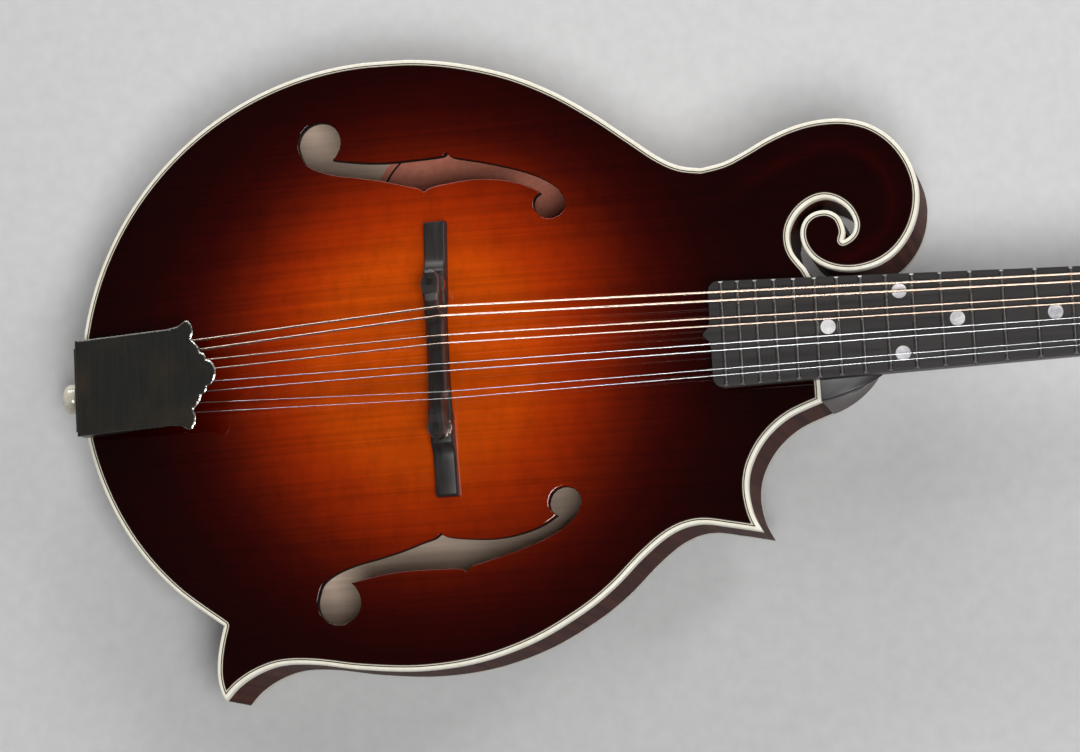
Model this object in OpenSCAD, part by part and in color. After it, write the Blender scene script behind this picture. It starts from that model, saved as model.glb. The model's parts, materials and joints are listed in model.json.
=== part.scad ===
// Carved, scroll-bodied mandolin with eight strings.
// It is drawn in its own frame: X runs from the saddle to the headstock, +Y is the bass side, Z leaves
// the top, and z = 0 is the flat edge of the top. in_rest() then lays it on its back, as on a table.

/* [Scale and neck] */
// Length of the open string along the fingerboard
scale_len = 354.5; // [352:0.5:356]
// Fall of the fingerboard towards the nut, in degrees
neck_angle = 5.5; // [5.3:0.1:5.7]
// Height of the fingerboard's plane above the rim, at the saddle
board_height = 24; // [23.5:0.25:24.5]
// Thickness of the fingerboard
board_thick = 4.8; // [4.4:0.1:5.0]
// Width of the fingerboard at the nut
nut_width = 30; // [29:0.5:31]
// Tilt of the headstock back from the neck, in degrees
head_tilt = 15; // [14:0.5:16]

/* [Body] */
// Depth of the body at its edge, plates included
rim_depth = 43; // [42:0.5:44]
// Thickness of both plates at their edge
plate_edge = 4.3; // [4:0.1:4.6]
// Rise of the carved top above its edge
top_arch = 11.5; // [11:0.25:12]
// Rise of the carved back below its edge
back_arch = 11; // [10:0.25:12]
// Thickness of both plates at the middle
plate_middle = 4.8; // [4.4:0.1:5.2]
// Thickness of the bent ribs
rib_thick = 2.3; // [2:0.1:2.6]
// Width of the cream binding
binding_width = 1.5; // [1.2:0.1:2.4]
// Width of the dark and cream lines inside the binding
purfling_width = 1.2; // [0.8:0.1:1.4]

/* [Bridge] */
// Length of the bridge's base across the top
bridge_len = 113; // [110:1:116]
// Distance between the two adjusting studs
stud_spacing = 58.6; // [57:0.2:60]
// Radius of the thumbwheels
wheel_r = 5; // [4.6:0.1:5.2]

/* [Tuners] */
// Distance between neighbouring tuner posts
post_pitch = 23; // [22.5:0.1:23.5]
// Distance of the posts from the headstock's middle line
post_offset = 17; // [16.5:0.1:17.5]
// Radius of a tuner post
post_r = 3; // [2.8:0.1:3]

/* [Hidden] */
$fn = 48;

// ---- the pose at rest: the middle of the back and the headstock's tip touch the table
rest_tilt = 3.42;
rest_shift = [-169.7, 2.1, 55.58];
module in_rest() {
    translate(rest_shift) rotate([0, -rest_tilt, 0]) children();
}

// ---- smooth curves through a few points
function bend(a, b, c, d, t) = 0.5 * (2 * b + (c - a) * t + (2 * a - 5 * b + 4 * c - d) * t * t
    + (3 * b - a - 3 * c + d) * t * t * t);
function curve(p, n) = [
    for (i = [0 : len(p) - 2]) for (k = [0 : n - 1])
        bend(p[max(i - 1, 0)], p[i], p[i + 1], p[min(i + 2, len(p) - 1)], k / n),
    p[len(p) - 1]];
function flip(p) = [for (i = [len(p) - 1 : -1 : 0]) p[i]];
function mirror_y(p) = [for (q = p) [q.x, -q.y]];
function drop_last(p) = [for (i = [0 : len(p) - 2]) p[i]];
// a curve moved sideways by d, to the left of its direction
function beside(p, d) = [
    for (i = [0 : len(p) - 1])
        let (t = p[min(i + 1, len(p) - 1)] - p[max(i - 1, 0)])
        p[i] + d * [-t.y, t.x] / norm(t)];
module strip(p, inner, outer) {
    polygon(concat(beside(p, inner), flip(beside(p, outer))));
}

// ---- the body's outline, anticlockwise round the edge, in smooth stretches that meet at corners
neck_end = 147;
lower_bout = [-31.8, 0];
bout_len = 129.7;
bout_half = 128.2;
notch = [-103.9, -101.8];
tail_tip = [-104.2, -132.4];
head_tip = [120.5, -79];
slot_wall = curve([[144, 26.5], [139.5, 33], [138.3, 39.2], [139.6, 44.6], [143.2, 49.6], [148.3, 53],
    [153.4, 54], [158.4, 52.3], [162.6, 48.5], [164.8, 43.4], [164.3, 39.6], [162.4, 37.4],
    [160, 36.2]], 2);
scroll_edge = curve([[160, 36.2], [160.9, 40.2], [159.3, 45.6], [156, 48.4], [152.4, 49.2],
    [148.2, 48.4], [144.8, 45.8], [143, 41.6], [143.2, 36.8], [145.3, 32], [149, 28], [154.5, 25],
    [161, 23.5], [168, 23.8], [175.3, 26], [181.9, 30.5], [187.4, 37.6], [190.8, 46.6],
    [191.4, 56.5], [188.6, 66.6], [182.6, 75.8], [174.1, 82.5], [164, 85.9], [153, 86.4],
    [142.5, 84.7], [131.9, 81], [122.3, 76.3], [113.5, 72.6], [104, 70.9]], 2);
bass_waist = curve([[104, 70.9], [95, 72.8], [86.4, 77.6], [75, 86.6], [61.5, 97.2], [45, 108.3],
    [26.5, 117.5], [6, 124], [-13, 127.4], [-31.8, 128.2]], 2);
function bout(a) = lower_bout + [bout_len * cos(a), bout_half * sin(a)];
bass_bout = [for (a = [90 : 6 : 180]) bout(a)];
treble_bout = curve([[-161.5, 0], [-158.8, -23], [-151.4, -46], [-139.8, -67.2], [-124, -85.8], notch], 3);
tail_horn = curve([notch, [-105.8, -108.6], [-107.1, -116], [-107.3, -123], [-106, -129.2],
    tail_tip], 2);
treble_waist = curve([tail_tip, [-98.8, -127], [-90.5, -122.2], [-80, -119.4], [-66, -120],
    [-46, -123.4], [-22, -125.4], [2, -123.4], [24.5, -117], [44.5, -107], [58.5, -97.3],
    [72.2, -84.9], [83.8, -76.8], [95, -74], [108, -76.2], head_tip], 3);
heel_waist = curve([head_tip, [117, -71.2], [115.6, -61], [117.6, -51.4], [123.8, -41.5],
    [133.7, -33.6], [147.2, -28.4]], 3);
outline = concat([[neck_end, 20.6]], drop_last(slot_wall), drop_last(scroll_edge),
    drop_last(bass_waist), drop_last(bass_bout), drop_last(treble_bout), drop_last(tail_horn),
    drop_last(treble_waist), heel_waist);
module body_2d() {
    polygon(outline);
}
module edge_ring_2d(outer, inner) {
    difference() {
        offset(delta = -outer) body_2d();
        offset(delta = -inner) body_2d();
    }
}

// ---- the carved plates: an oval bowl that flattens into a level edge
arch_mid = -19;
arch_tail = 128;
arch_head = 188;
arch_side = 113;
arch_shoulder = 60;
function ease(t) = let (u = min(max(t, 0), 1)) u * u * (3 - 2 * u);
function arch_half(x) = arch_side - (arch_side - arch_shoulder) * ease((x + 10) / 130);
function bowl(x, y) = let (u = (x - arch_mid) / (x < arch_mid ? arch_tail : arch_head),
    v = y / arch_half(x), r = min(norm([u, v]), 1)) (1 + cos(180 * r)) / 2;
// a low round ridge that winds into the scroll
scroll_eye = [153, 44];
function scroll_ridge(x, y) = let (d = norm([x, y] - scroll_eye))
    2.2 * max(0, 1 - pow((d - 24) / 11, 2)) * ease((x - 108) / 24);
function top_z(x, y) = top_arch * bowl(x, y) + scroll_ridge(x, y);
function top_under_z(x, y) = top_arch * bowl(x, y) - plate_edge - (plate_middle - plate_edge) * bowl(x, y);
function back_z(x, y) = -rim_depth - back_arch * bowl(x, y) - scroll_ridge(x, y);
function back_inside_z(x, y) = plate_edge - rim_depth
    - (back_arch + plate_edge - plate_middle) * bowl(x, y);
// a closed slab between two surfaces over a grid of points
module slab(upper, lower, x0, x1, nx, y0, y1, ny) {
    row = ny + 1;
    count = (nx + 1) * row;
    grid = [for (i = [0 : nx]) for (j = [0 : ny]) [x0 + (x1 - x0) * i / nx, y0 + (y1 - y0) * j / ny]];
    edge = concat([for (i = [0 : nx - 1]) i * row], [for (j = [0 : ny - 1]) nx * row + j],
        [for (i = [nx : -1 : 1]) i * row + ny], [for (j = [ny : -1 : 1]) j]);
    points = concat([for (p = grid) [p.x, p.y, upper(p.x, p.y)]],
        [for (p = grid) [p.x, p.y, lower(p.x, p.y)]]);
    faces = concat(
        [for (i = [0 : nx - 1]) for (j = [0 : ny - 1]) let (a = i * row + j) each [
            [a, a + 1, a + row + 1], [a, a + row + 1, a + row],
            [count + a, count + a + row + 1, count + a + 1],
            [count + a, count + a + row, count + a + row + 1]]],
        [for (k = [0 : len(edge) - 1]) let (a = edge[k], b = edge[(k + 1) % len(edge)]) each [
            [a, b, count + b], [a, count + b, count + a]]]);
    polyhedron(points = points, faces = faces);
}
// a closed loft through rings of equal length
module loft(rings) {
    n = len(rings[0]);
    m = len(rings);
    polyhedron(points = [for (r = rings) each r], faces = concat(
        [[for (k = [0 : n - 1]) k]],
        [[for (k = [n - 1 : -1 : 0]) (m - 1) * n + k]],
        [for (i = [0 : m - 2]) for (k = [0 : n - 1]) let (a = i * n + k, b = i * n + (k + 1) % n) each [
            [a, a + n, b + n], [a, b + n, b]]]));
}

// ---- sound holes
big_eye = [-52.6, 95.6];
small_eye = [42, 61.8];
f_inner_tail = curve([[-61.5, 94.5], [-59.4, 88.4], [-54.5, 84.5], [-46, 81.3], [-36, 79.2],
    [-26, 76.8], [-17, 74], [-11.5, 72.4]], 2);
f_inner_head = curve([[-6.2, 72.3], [4, 73.8], [14, 74.2], [24, 72.8], [32.5, 70], [38.4, 66.4]], 2);
f_outer_head = curve([[48.4, 62.5], [45.4, 67.6], [40, 72], [32.4, 75.8], [24, 78.8], [15.6, 81.3],
    [7.2, 83.4], [2.8, 84.6]], 2);
f_outer_tail = curve([[-2.2, 85.3], [-15, 84.8], [-26, 84.8], [-37, 86], [-47.2, 88]], 2);
module sound_hole_2d() {
    translate(big_eye) circle(r = 9, $fn = 24);
    translate(small_eye) circle(r = 6.6, $fn = 20);
    polygon(concat(f_inner_tail, [[-9, 70.6]], f_inner_head, [small_eye], f_outer_head, [[0.3, 86.7]],
        f_outer_tail, [big_eye]));
}

module top_plate() {
    color([0.62, 0.22, 0.04]) resize([0, 0, 0]) intersection() {
        slab(function (x, y) top_z(x, y), function (x, y) top_under_z(x, y), -164, 196, 40, -136, 132, 30);
        translate([0, 0, -30]) linear_extrude(height = 60) difference() {
            offset(delta = -binding_width - purfling_width) body_2d();
            sound_hole_2d();
            mirror([0, 1, 0]) sound_hole_2d();
        }
    }
}
module back_plate() {
    color([0.4, 0.12, 0.04]) resize([0, 0, 0]) intersection() {
        slab(function (x, y) back_inside_z(x, y), function (x, y) back_z(x, y),
            -164, 196, 40, -136, 132, 30);
        translate([0, 0, -90]) linear_extrude(height = 60) offset(delta = -binding_width) body_2d();
    }
}
module bindings() {
    color([0.93, 0.89, 0.74]) for (z = [-plate_edge, -rim_depth]) translate([0, 0, z])
        linear_extrude(height = plate_edge) edge_ring_2d(0, binding_width);
}
module top_purfling() {
    color([0.1, 0.09, 0.08]) translate([0, 0, -plate_edge])
        linear_extrude(height = plate_edge) edge_ring_2d(binding_width, binding_width + purfling_width);
}

// ---- ribs and blocks, between the plates
wall_low = plate_edge - rim_depth;
wall_high = rim_depth - 2 * plate_edge;
pin_z = -21.5;
pin_r = 4;
module wall() {
    translate([0, 0, wall_low]) linear_extrude(height = wall_high) children();
}
module pin_bore(r) {
    translate([-180, 0, pin_z]) rotate([0, 90, 0]) cylinder(r = r, h = 60);
}
module rib_bass() {
    color([0.3, 0.08, 0.04]) difference() {
        wall() strip(concat([[112, 72.2]], bass_waist, [for (a = [96 : 6 : 180]) bout(a)]), 0, rib_thick);
        pin_bore(pin_r + 0.5);
        tail_bores();
    }
}
module rib_tail() {
    inside = concat(beside(treble_bout, rib_thick), beside(tail_horn, rib_thick));
    color([0.3, 0.08, 0.04]) difference() {
        wall() intersection() {
            polygon(concat(drop_last(treble_bout), tail_horn, flip(inside)));
            polygon([[-170, 0], [-170, -136], tail_tip, [-99, -119], [-99, 0]]);
        }
        pin_bore(pin_r + 0.5);
        tail_bores();
    }
}
module rib_waist() {
    color([0.3, 0.08, 0.04]) wall() intersection() {
        strip(treble_waist, 0, rib_thick);
        polygon([tail_tip, [-99, -119], [-99, -60], [104, -60], [112, -70], head_tip, [110, -140],
            [-104, -140]]);
    }
}
module rib_heel() {
    color([0.3, 0.08, 0.04]) wall() intersection() {
        strip(heel_waist, 0, rib_thick);
        polygon([head_tip, [112, -70], [104, -20], [neck_end, -20], [neck_end, -90]]);
    }
}
tenon_x = 128;
tenon_half = 12;
// a cut from the waist to the slot, and on down the middle of the slot, parts the scroll from the block
scroll_cut = [[147.3, 26], [142.2, 33], [140.7, 39.2], [142, 45], [112.3, 45]];
module head_block() {
    color([0.3, 0.08, 0.04]) wall() difference() {
        union() {
            intersection() {
                body_2d();
                polygon(concat([[112.3, 8], [147.3, 8]], scroll_cut));
            }
            polygon([[118, 9], [118, -38], [125, -34.5], [134, -30.2], [neck_end, -25.2], [neck_end, 9]]);
        }
        translate([tenon_x, -tenon_half]) square([30, 2 * tenon_half]);
    }
}
module scroll_block() {
    color([0.3, 0.08, 0.04]) wall() intersection() {
        body_2d();
        polygon(concat([[147.3, 8]], scroll_cut, [[112.3, 95], [200, 95], [200, 8]]));
    }
}
module inner_blocks() {
    color([0.75, 0.6, 0.4]) {
        difference() {
            wall() polygon([[-142, -24], [-142, 24], [-156.7, 24], [-158.4, 12], [-159.1, 0],
                [-158.1, -11.5], [-156, -24]]);
            pin_bore(pin_r);
            tail_bores();
        }
        wall() intersection() {
            offset(delta = -rib_thick - 0.05) body_2d();
            union() {
                polygon([[-101, -104], [-106, -117], [-104, -128], [-88, -121], [-84, -106]]);
                polygon([[96, -60], [96, -74], [108, -75], [119, -78], [117, -68], [116, -58]]);
            }
        }
    }
}
lining_w = 5;
lining_h = 6;
module lining(p) {
    for (z = [wall_low, wall_low + wall_high - lining_h])
        translate([0, 0, z]) linear_extrude(height = lining_h)
            strip(p, rib_thick, rib_thick + lining_w);
}
bar_w = 5.5;
bar_tail = -78;
bar_head = 84;
function under_bar(x, y) = min(top_under_z(x, y - bar_w / 2), top_under_z(x, y + bar_w / 2));
module tone_bar(y) {
    translate([0, y + bar_w / 2, 0]) rotate([90, 0, 0]) linear_extrude(height = bar_w)
        polygon(concat([for (k = [0 : 12]) let (x = bar_tail + (bar_head - bar_tail) * k / 12)
            [x, under_bar(x, y) - 0.02]],
            [for (k = [12 : -1 : 0]) let (x = bar_tail + (bar_head - bar_tail) * k / 12)
            [x, under_bar(x, y) - 1.5 - 7 * sin(180 * (k + 0.5) / 13)]]));
}
module inner_bracing() {
    color([0.85, 0.72, 0.5]) {
        lining(concat([for (i = [2 : len(bass_waist) - 1]) bass_waist[i]],
            [for (a = [96 : 6 : 168]) bout(a)]));
        lining([for (i = [4 : len(treble_bout) - 3]) treble_bout[i]]);
        lining([for (i = [10 : len(treble_waist) - 10]) treble_waist[i]]);
        tone_bar(19);
        tone_bar(-19);
    }
}
label_z = 0.25;
module label() {
    color([0.8, 0.45, 0.4]) slab(function (x, y) back_inside_z(x, y) + label_z,
        function (x, y) back_inside_z(x, y) + 0.02, -38, 22, 6, 40, 84, 5);
}

// ---- endpin and tailpiece
tail_x = -161.5;
flange = 1.1;
module endpin() {
    color([0.93, 0.9, 0.8]) translate([tail_x, 0, pin_z]) rotate([0, -90, 0]) {
        translate([0, 0, -16]) cylinder(r = pin_r - 0.02, h = 16 + flange);
        translate([0, 0, flange]) cylinder(r = 3.3, h = 6);
        translate([0, 0, 7.1]) rotate_extrude() polygon([[0, 0], [5.2, 0], [6.2, 0.8], [6.5, 1.8],
            [6.5, 3.6], [6.1, 4.9], [5, 5.9], [3.2, 6.6], [0, 6.9]]);
    }
}
cover_slope = 13;
hook_x = -117;
module tailpiece_base() {
    color([0.3, 0.3, 0.32]) {
        difference() {
            translate([tail_x - flange, -15, -34]) cube([flange, 30, 36.2]);
            translate([tail_x - 5, 0, pin_z]) rotate([0, 90, 0]) cylinder(r = pin_r + 0.05, h = 10);
            for (s = [-1, 1]) translate([tail_x - 5, s * 10, -9]) rotate([0, 90, 0])
                cylinder(r = 1.4, h = 10);
            translate([tail_x - 5, 0, -31]) rotate([0, 90, 0]) cylinder(r = 1.4, h = 10);
        }
        translate([tail_x - flange, 0, 2.2]) rotate([0, -cover_slope + 1, 0]) {
            difference() {
                translate([0, -17.5, 0]) cube([48, 35, flange]);
                for (s = [-1, 1]) translate([20, s * 6, -1]) cylinder(r = 3.2, h = 4);
            }
            for (s = [-1, 1]) translate([0, s * 17, 0]) translate([4, -0.5, 0]) cube([38, 1, 4]);
            for (i = [0 : 7]) translate([44, course_y(i) * 0.97, 0]) cylinder(r = 0.9, h = 4.2, $fn = 20);
        }
    }
}
function course_y(i) = [15, 10.8, 6.6, 2.4, -2.4, -6.6, -10.8, -15][i];
cover_front = concat(
    [[45, 20], [50, 20.6], [53.5, 22.6], [55, 22.4], [56.6, 20.2], [57, 17.4], [55.9, 14.4]],
    [[57.6, 13], [59.2, 11], [59.9, 8.8]],
    [[61.6, 8.2], [62.5, 6.8], [62.5, 5.6]],
    [[64.6, 4.8], [66, 3.2], [66.8, 1.2]]);
cover_plan = concat([[-1, 20]], cover_front, flip(mirror_y(cover_front)), [[-1, -20]]);
cover_x = 0.6;
function roof_z(x) = 8.1 + x * tan(cover_slope);
module across(width, y) {
    translate([0, y + width / 2, 0]) rotate([90, 0, 0]) linear_extrude(height = width) children();
}
module tailpiece_cover() {
    color([0.16, 0.16, 0.17]) translate([tail_x, 0, 0]) {
        intersection() {
            across(60, 0) polygon([[cover_x, 4.4], [cover_x + 1, 4.4],
                [cover_x + 1, roof_z(cover_x + 1) - 1], [65, roof_z(65) - 1],
                [65, roof_z(65)], [cover_x, roof_z(cover_x)]]);
            translate([-0.4, 0, -10]) linear_extrude(height = 50)
                polygon([for (p = cover_plan) [p.x * cos(cover_slope), p.y]]);
        }
        for (s = [-1, 1]) across(1, s * 19.3)
            polygon([[cover_x + 0.5, 1.2], [cover_x + 0.5, roof_z(cover_x) - 0.6], [39, roof_z(39) - 0.5],
                [39, roof_z(39) - 5.5]]);
    }
}

// ---- bridge
bridge_x = -5.5;
base_w = 9;
stud_y = stud_spacing / 2;
base_top = 16.2;
wheel_low = 17.3;
wheel_h = 1.8;
stud_r = 1.3;
saddle_low = wheel_low + wheel_h + 0.05;
function foot_z(y) = top_z(bridge_x, y) + 0.03;
base_half = [[0, base_top - 1.2], [22, base_top - 0.8], [24, base_top], [34.5, base_top], [37, 14.6],
    [40, 12.8], [44, 11.9], [52, 11.2], [bridge_len / 2 - 1, 10.6], [bridge_len / 2, 9.6]];
base_under = concat([for (y = [bridge_len / 2 : -8 : 26]) [y, foot_z(y)]],
    [[24, foot_z(24)], [22, foot_z(22) + 2.2], [14, foot_z(14) + 2.6], [0, foot_z(0) + 1.6]]);
base_profile = concat(base_half, base_under);
module bridge_base() {
    color([0.09, 0.08, 0.08]) difference() {
        translate([bridge_x + base_w / 2, 0, 0]) rotate([90, 0, -90]) linear_extrude(height = base_w)
            polygon(concat(base_profile, flip([for (q = base_profile) [-q.x, q.y]])));
        for (s = [-1, 1]) translate([bridge_x, s * stud_y, 11.4]) cylinder(r = stud_r, h = 10);
    }
}
module bridge_studs() {
    color([0.75, 0.74, 0.7]) for (s = [-1, 1])
        translate([bridge_x, s * stud_y, 11.5]) cylinder(r = stud_r - 0.01, h = 13.2);
}
module thumbwheel(s) {
    color([0.8, 0.79, 0.75]) translate([bridge_x, s * stud_y, wheel_low]) difference() {
        cylinder(r = wheel_r, h = wheel_h);
        translate([0, 0, -1]) cylinder(r = stud_r + 0.05, h = wheel_h + 2);
        for (a = [0 : 20 : 340]) rotate([0, 0, a]) translate([wheel_r + 0.25, 0, -1])
            cylinder(r = 0.55, h = wheel_h + 2, $fn = 16);
    }
}
saddle_half = [[0, 27.3], [21, 26.8], [24.5, 25.2], [28, 24.6], [33, 24.4], [34.6, 23.4], [35, 22],
    [34.6, saddle_low + 0.6], [34, saddle_low], [23, saddle_low], [20, saddle_low + 1.6],
    [0, saddle_low + 2.2]];
saddle_plan = concat([for (a = [0 : 20 : 180]) [stud_y + 5.2 * sin(a), -3.4 * cos(a) - 0.4]],
    [[18, 2.6], [0, 2.2], [-18, 2.6]],
    [for (a = [180 : 20 : 360]) [-stud_y + 5.2 * sin(a), -3.4 * cos(a) - 0.4]],
    [[-18, -3.9], [-14, -5.6], [14, -5.6], [18, -3.9]]);
module bridge_saddle() {
    color([0.09, 0.08, 0.08]) difference() {
        intersection() {
            translate([bridge_x + 10, 0, 0]) rotate([90, 0, -90]) linear_extrude(height = 20)
                polygon(concat(saddle_half, flip([for (q = saddle_half) [-q.x, q.y]])));
            translate([bridge_x, 0, 10]) rotate([0, 0, 90]) linear_extrude(height = 30)
                polygon(saddle_plan);
        }
        for (s = [-1, 1]) translate([bridge_x, s * stud_y, 10]) cylinder(r = stud_r + 0.1, h = 30);
        // the crown falls away behind the strings' bearing
        translate([-1.8, -40, 27.3]) rotate([0, -9, 0]) mirror([1, 0, 0]) cube([12, 80, 6]);
    }
}

// ---- fingerboard, in the neck's frame: x along the board from the saddle, z = 0 on its face
board_end = 106.5;
board_slope = 0.0266;
function board_half(x) = nut_width / 2 + (scale_len - x) * board_slope;
function fret_x(n) = scale_len * pow(2, -n / 12);
fret_h = 1;
module in_neck() {
    translate([0, 0, board_height]) rotate([0, neck_angle, 0]) children();
}
corner_r = 4;
corner_at = [board_end + corner_r, board_half(board_end + corner_r) - corner_r];
board_corner = [for (a = [0 : 22.5 : 90]) corner_at + corner_r * [-sin(a), cos(a)]];
board_point = [[board_end, 6], [board_end - 0.8, 2.6], [board_end - 3, 0.5]];
board_side = concat([[scale_len, nut_width / 2]], board_corner, board_point);
dot_frets = [3, 5, 7, 10, 15];
function dot_x(n) = (fret_x(n) + fret_x(n - 1)) / 2;
dot_r = 3;
dot_depth = 1.2;
module dots_at() {
    for (n = dot_frets) translate([dot_x(n), 0, -dot_depth]) children();
    for (s = [-1, 1]) translate([dot_x(12), s * 12.6, -dot_depth]) children();
}
module fingerboard() {
    color([0.1, 0.08, 0.08]) in_neck() difference() {
        translate([0, 0, -board_thick]) linear_extrude(height = board_thick)
            polygon(concat(board_side, flip(mirror_y(board_side))));
        for (n = [1 : 20]) translate([fret_x(n) - 0.3, -30, -1.8]) cube([0.6, 60, 3]);
        dots_at() cylinder(r = dot_r, h = dot_depth + 1);
    }
}
fret_profile = [for (a = [0 : 30 : 180]) [1.05 * cos(a), fret_h * sin(a)]];
module frets() {
    color([0.8, 0.8, 0.78]) in_neck() for (n = [1 : 20]) {
        half = board_half(fret_x(n)) - 0.2;
        translate([fret_x(n), half, 0.01]) rotate([90, 0, 0]) linear_extrude(height = 2 * half)
            polygon(concat(fret_profile, [[-0.28, 0], [-0.28, -1.6], [0.28, -1.6], [0.28, 0]]));
    }
}
module extension_riser() {
    color([0.12, 0.05, 0.04]) difference() {
        in_neck() translate([116, -18, -board_thick - 8]) cube([33, 36, 8]);
        slab(function (x, y) top_z(x, y) + 0.02, function (x, y) -20, -164, 196, 40, -136, 132, 30);
        translate([neck_end + 0.01, -30, -20]) cube([20, 60, 60]);
    }
}

// ---- headstock frame: x along the face from the nut, z = 0 on the overlay
nut_thick = 4.5;
nut_low = -board_thick - 0.28;
head_step = 3.2;
overlay = 1.6;
head_thick = 14;
module in_head() {
    in_neck() translate([scale_len + nut_thick, 0, -head_step]) rotate([0, head_tilt, 0]) children();
}
head_bass = [[0, 15.4], [7, 17], [14, 21], [22, 25.2], [34, 26.8], [66, 27], [96, 27.4], [110, 29.6],
    [121, 34.6], [131, 38.2], [141, 36.6], [146.5, 30], [145.5, 22.6], [140, 18.4], [138.6, 13],
    [143, 7.5], [150.5, 4.2], [157, 1]];
head_treble = [[157, 1], [159.6, -8], [163.8, -18], [164.4, -28], [159, -36.4], [149, -40.6],
    [137.5, -40], [126, -35.6], [114, -30.4], [98, -27.6], [66, -27], [34, -26.8], [22, -25.2],
    [14, -21], [7, -17], [0, -15.4]];
module head_2d() {
    polygon(concat(curve(head_bass, 3), curve(head_treble, 3)));
}
// Tuners 1 to 4 are on the bass side and 5 to 8 on the treble side, both counted from the nut
first_post = 30;
function post_x(i) = first_post + post_pitch * ((i - 1) % 4);
function post_side(i) = i <= 4 ? 1 : -1;
function post_at(i) = [post_x(i), post_side(i) * post_offset];
module at_post(i) {
    in_head() translate([post_at(i).x, post_at(i).y, 0]) children();
}
truss_z = -board_thick - 5.5;
truss_r = 2.4;
truss_end = scale_len + 16;
// the pocket behind the nut in which the rod ends: where it starts, its length, width and depth
pocket_x = 3;
pocket_len = 17;
pocket_w = 9;
pocket_z = -9.5;

function neck_depth(x) = 12 + 3.5 * ease((scale_len - x) / 150);
function neck_ring(x, half, depth) = [for (a = [0 : 15 : 180])
    [x, -half * cos(a), -board_thick - depth * pow(sin(a), 0.85)]];
module neck_shaft() {
    loft([for (x = [neck_end + 2.2, 170, 195, 225, 260, 295, 330, scale_len])
        neck_ring(x, board_half(x), neck_depth(x))]);
}
heel_nose = 171;
function heel_x(z) = heel_nose + 16 * pow(max(0, (z + rim_depth) / rim_depth), 3);
// the heel starts just clear of the body's edge, which leans 0.2 mm across its width
heel_foot = neck_end + 0.22;
function heel_ring(z) = concat(
    [for (a = [0 : 15 : 90])
        [heel_foot + (heel_x(z) - neck_end) * pow(sin(a), 1.5), -28.3 * pow(cos(a), 0.9), z]],
    [for (a = [75 : -15 : 0])
        [heel_foot + (heel_x(z) - neck_end) * pow(sin(a), 0.6), 19.4 * cos(a), z]]);
module neck() {
    color([0.25, 0.07, 0.04]) difference() {
        resize([0, 0, 0]) union() {
            in_neck() neck_shaft();
            difference() {
                loft([for (k = [0 : 7]) heel_ring(-rim_depth + rim_depth * k / 7)]);
                in_neck() translate([100, -50, -board_thick - 0.02]) cube([300, 100, 60]);
            }
            translate([tenon_x, -tenon_half, wall_low])
                cube([neck_end - tenon_x + 1, 2 * tenon_half, wall_high]);
            in_head() translate([0, 0, -overlay - head_thick]) linear_extrude(height = head_thick)
                head_2d();
            in_neck() translate([scale_len - 14, 0, 0]) rotate([90, 0, 90]) linear_extrude(height = 24)
                polygon([[-14.4, -board_thick - 0.3], [-12.6, -13], [-7, -18.4], [7, -18.4],
                    [12.6, -13], [14.4, -board_thick - 0.3]]);
        }
        for (i = [1 : 8]) at_post(i) translate([0, 0, -30]) cylinder(r = 4.6, h = 40);
        in_neck() translate([160, 0, truss_z]) rotate([0, 90, 0])
            cylinder(r = truss_r + 0.02, h = scale_len - 150);
        in_head() translate([pocket_x, -pocket_w / 2, pocket_z]) cube([pocket_len, pocket_w, 20]);
        in_neck() translate([scale_len - 0.01, -30, nut_low - 0.02]) cube([nut_thick - 0.5, 60, 20]);
        in_head() translate([0, -60, -overlay - 0.01]) cube([200, 120, 20]);
        plate_bores();
        cover_bores();
    }
}
module truss_rod() {
    color([0.6, 0.6, 0.62]) in_neck() translate([162, 0, truss_z]) rotate([0, 90, 0])
        cylinder(r = truss_r, h = truss_end - 162);
}
module truss_rod_nut() {
    color([0.78, 0.62, 0.3]) in_neck() translate([truss_end - 7.4, 0, truss_z]) rotate([0, 90, 0])
        difference() {
            cylinder(r = 3.2, h = 4, $fn = 6);
            translate([0, 0, -1]) cylinder(r = truss_r + 0.05, h = 8);
        }
}
cover_screws = [[5, 5.9], [5, -5.9], [31, 0]];
cover_bell = [[2.2, 8], [8, 8.6], [14, 7.4], [19, 8.4], [25, 9], [30, 7.4], [33, 4], [35.4, 0.6]];
module truss_rod_cover() {
    color([0.07, 0.07, 0.08]) in_head() linear_extrude(height = 1.5) difference() {
        polygon(concat(curve(cover_bell, 3), flip(mirror_y(curve(cover_bell, 3)))));
        for (p = cover_screws) translate(p) circle(r = 1, $fn = 24);
    }
}
module headstock_overlay() {
    color([0.08, 0.07, 0.07]) difference() {
        in_head() translate([0, 0, -overlay]) linear_extrude(height = overlay) head_2d();
        in_head() translate([pocket_x, -pocket_w / 2, -5]) cube([pocket_len, pocket_w, 10]);
        for (i = [1 : 8]) at_post(i) translate([0, 0, -5]) cylinder(r = 4.6, h = 10);
        in_head() vase_inlay(-0.8, 3);
        cover_bores();
    }
}
// a plain leaf and two diamonds let into the headstock
module vase_inlay(z, h) {
    translate([0, 0, z]) linear_extrude(height = h) {
        polygon([for (a = [0 : 30 : 330]) [126 + 11 * cos(a), 5 * sin(a)]]);
        polygon([[104, 0], [109, 3.6], [114, 0], [109, -3.6]]);
        polygon([[90, 0], [95, 3], [100, 0], [95, -3]]);
    }
}
module pearl_inlays() {
    color([0.9, 0.9, 0.88]) {
        in_neck() dots_at() cylinder(r = dot_r, h = dot_depth);
        in_head() vase_inlay(-0.8, 0.82);
    }
}
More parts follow.
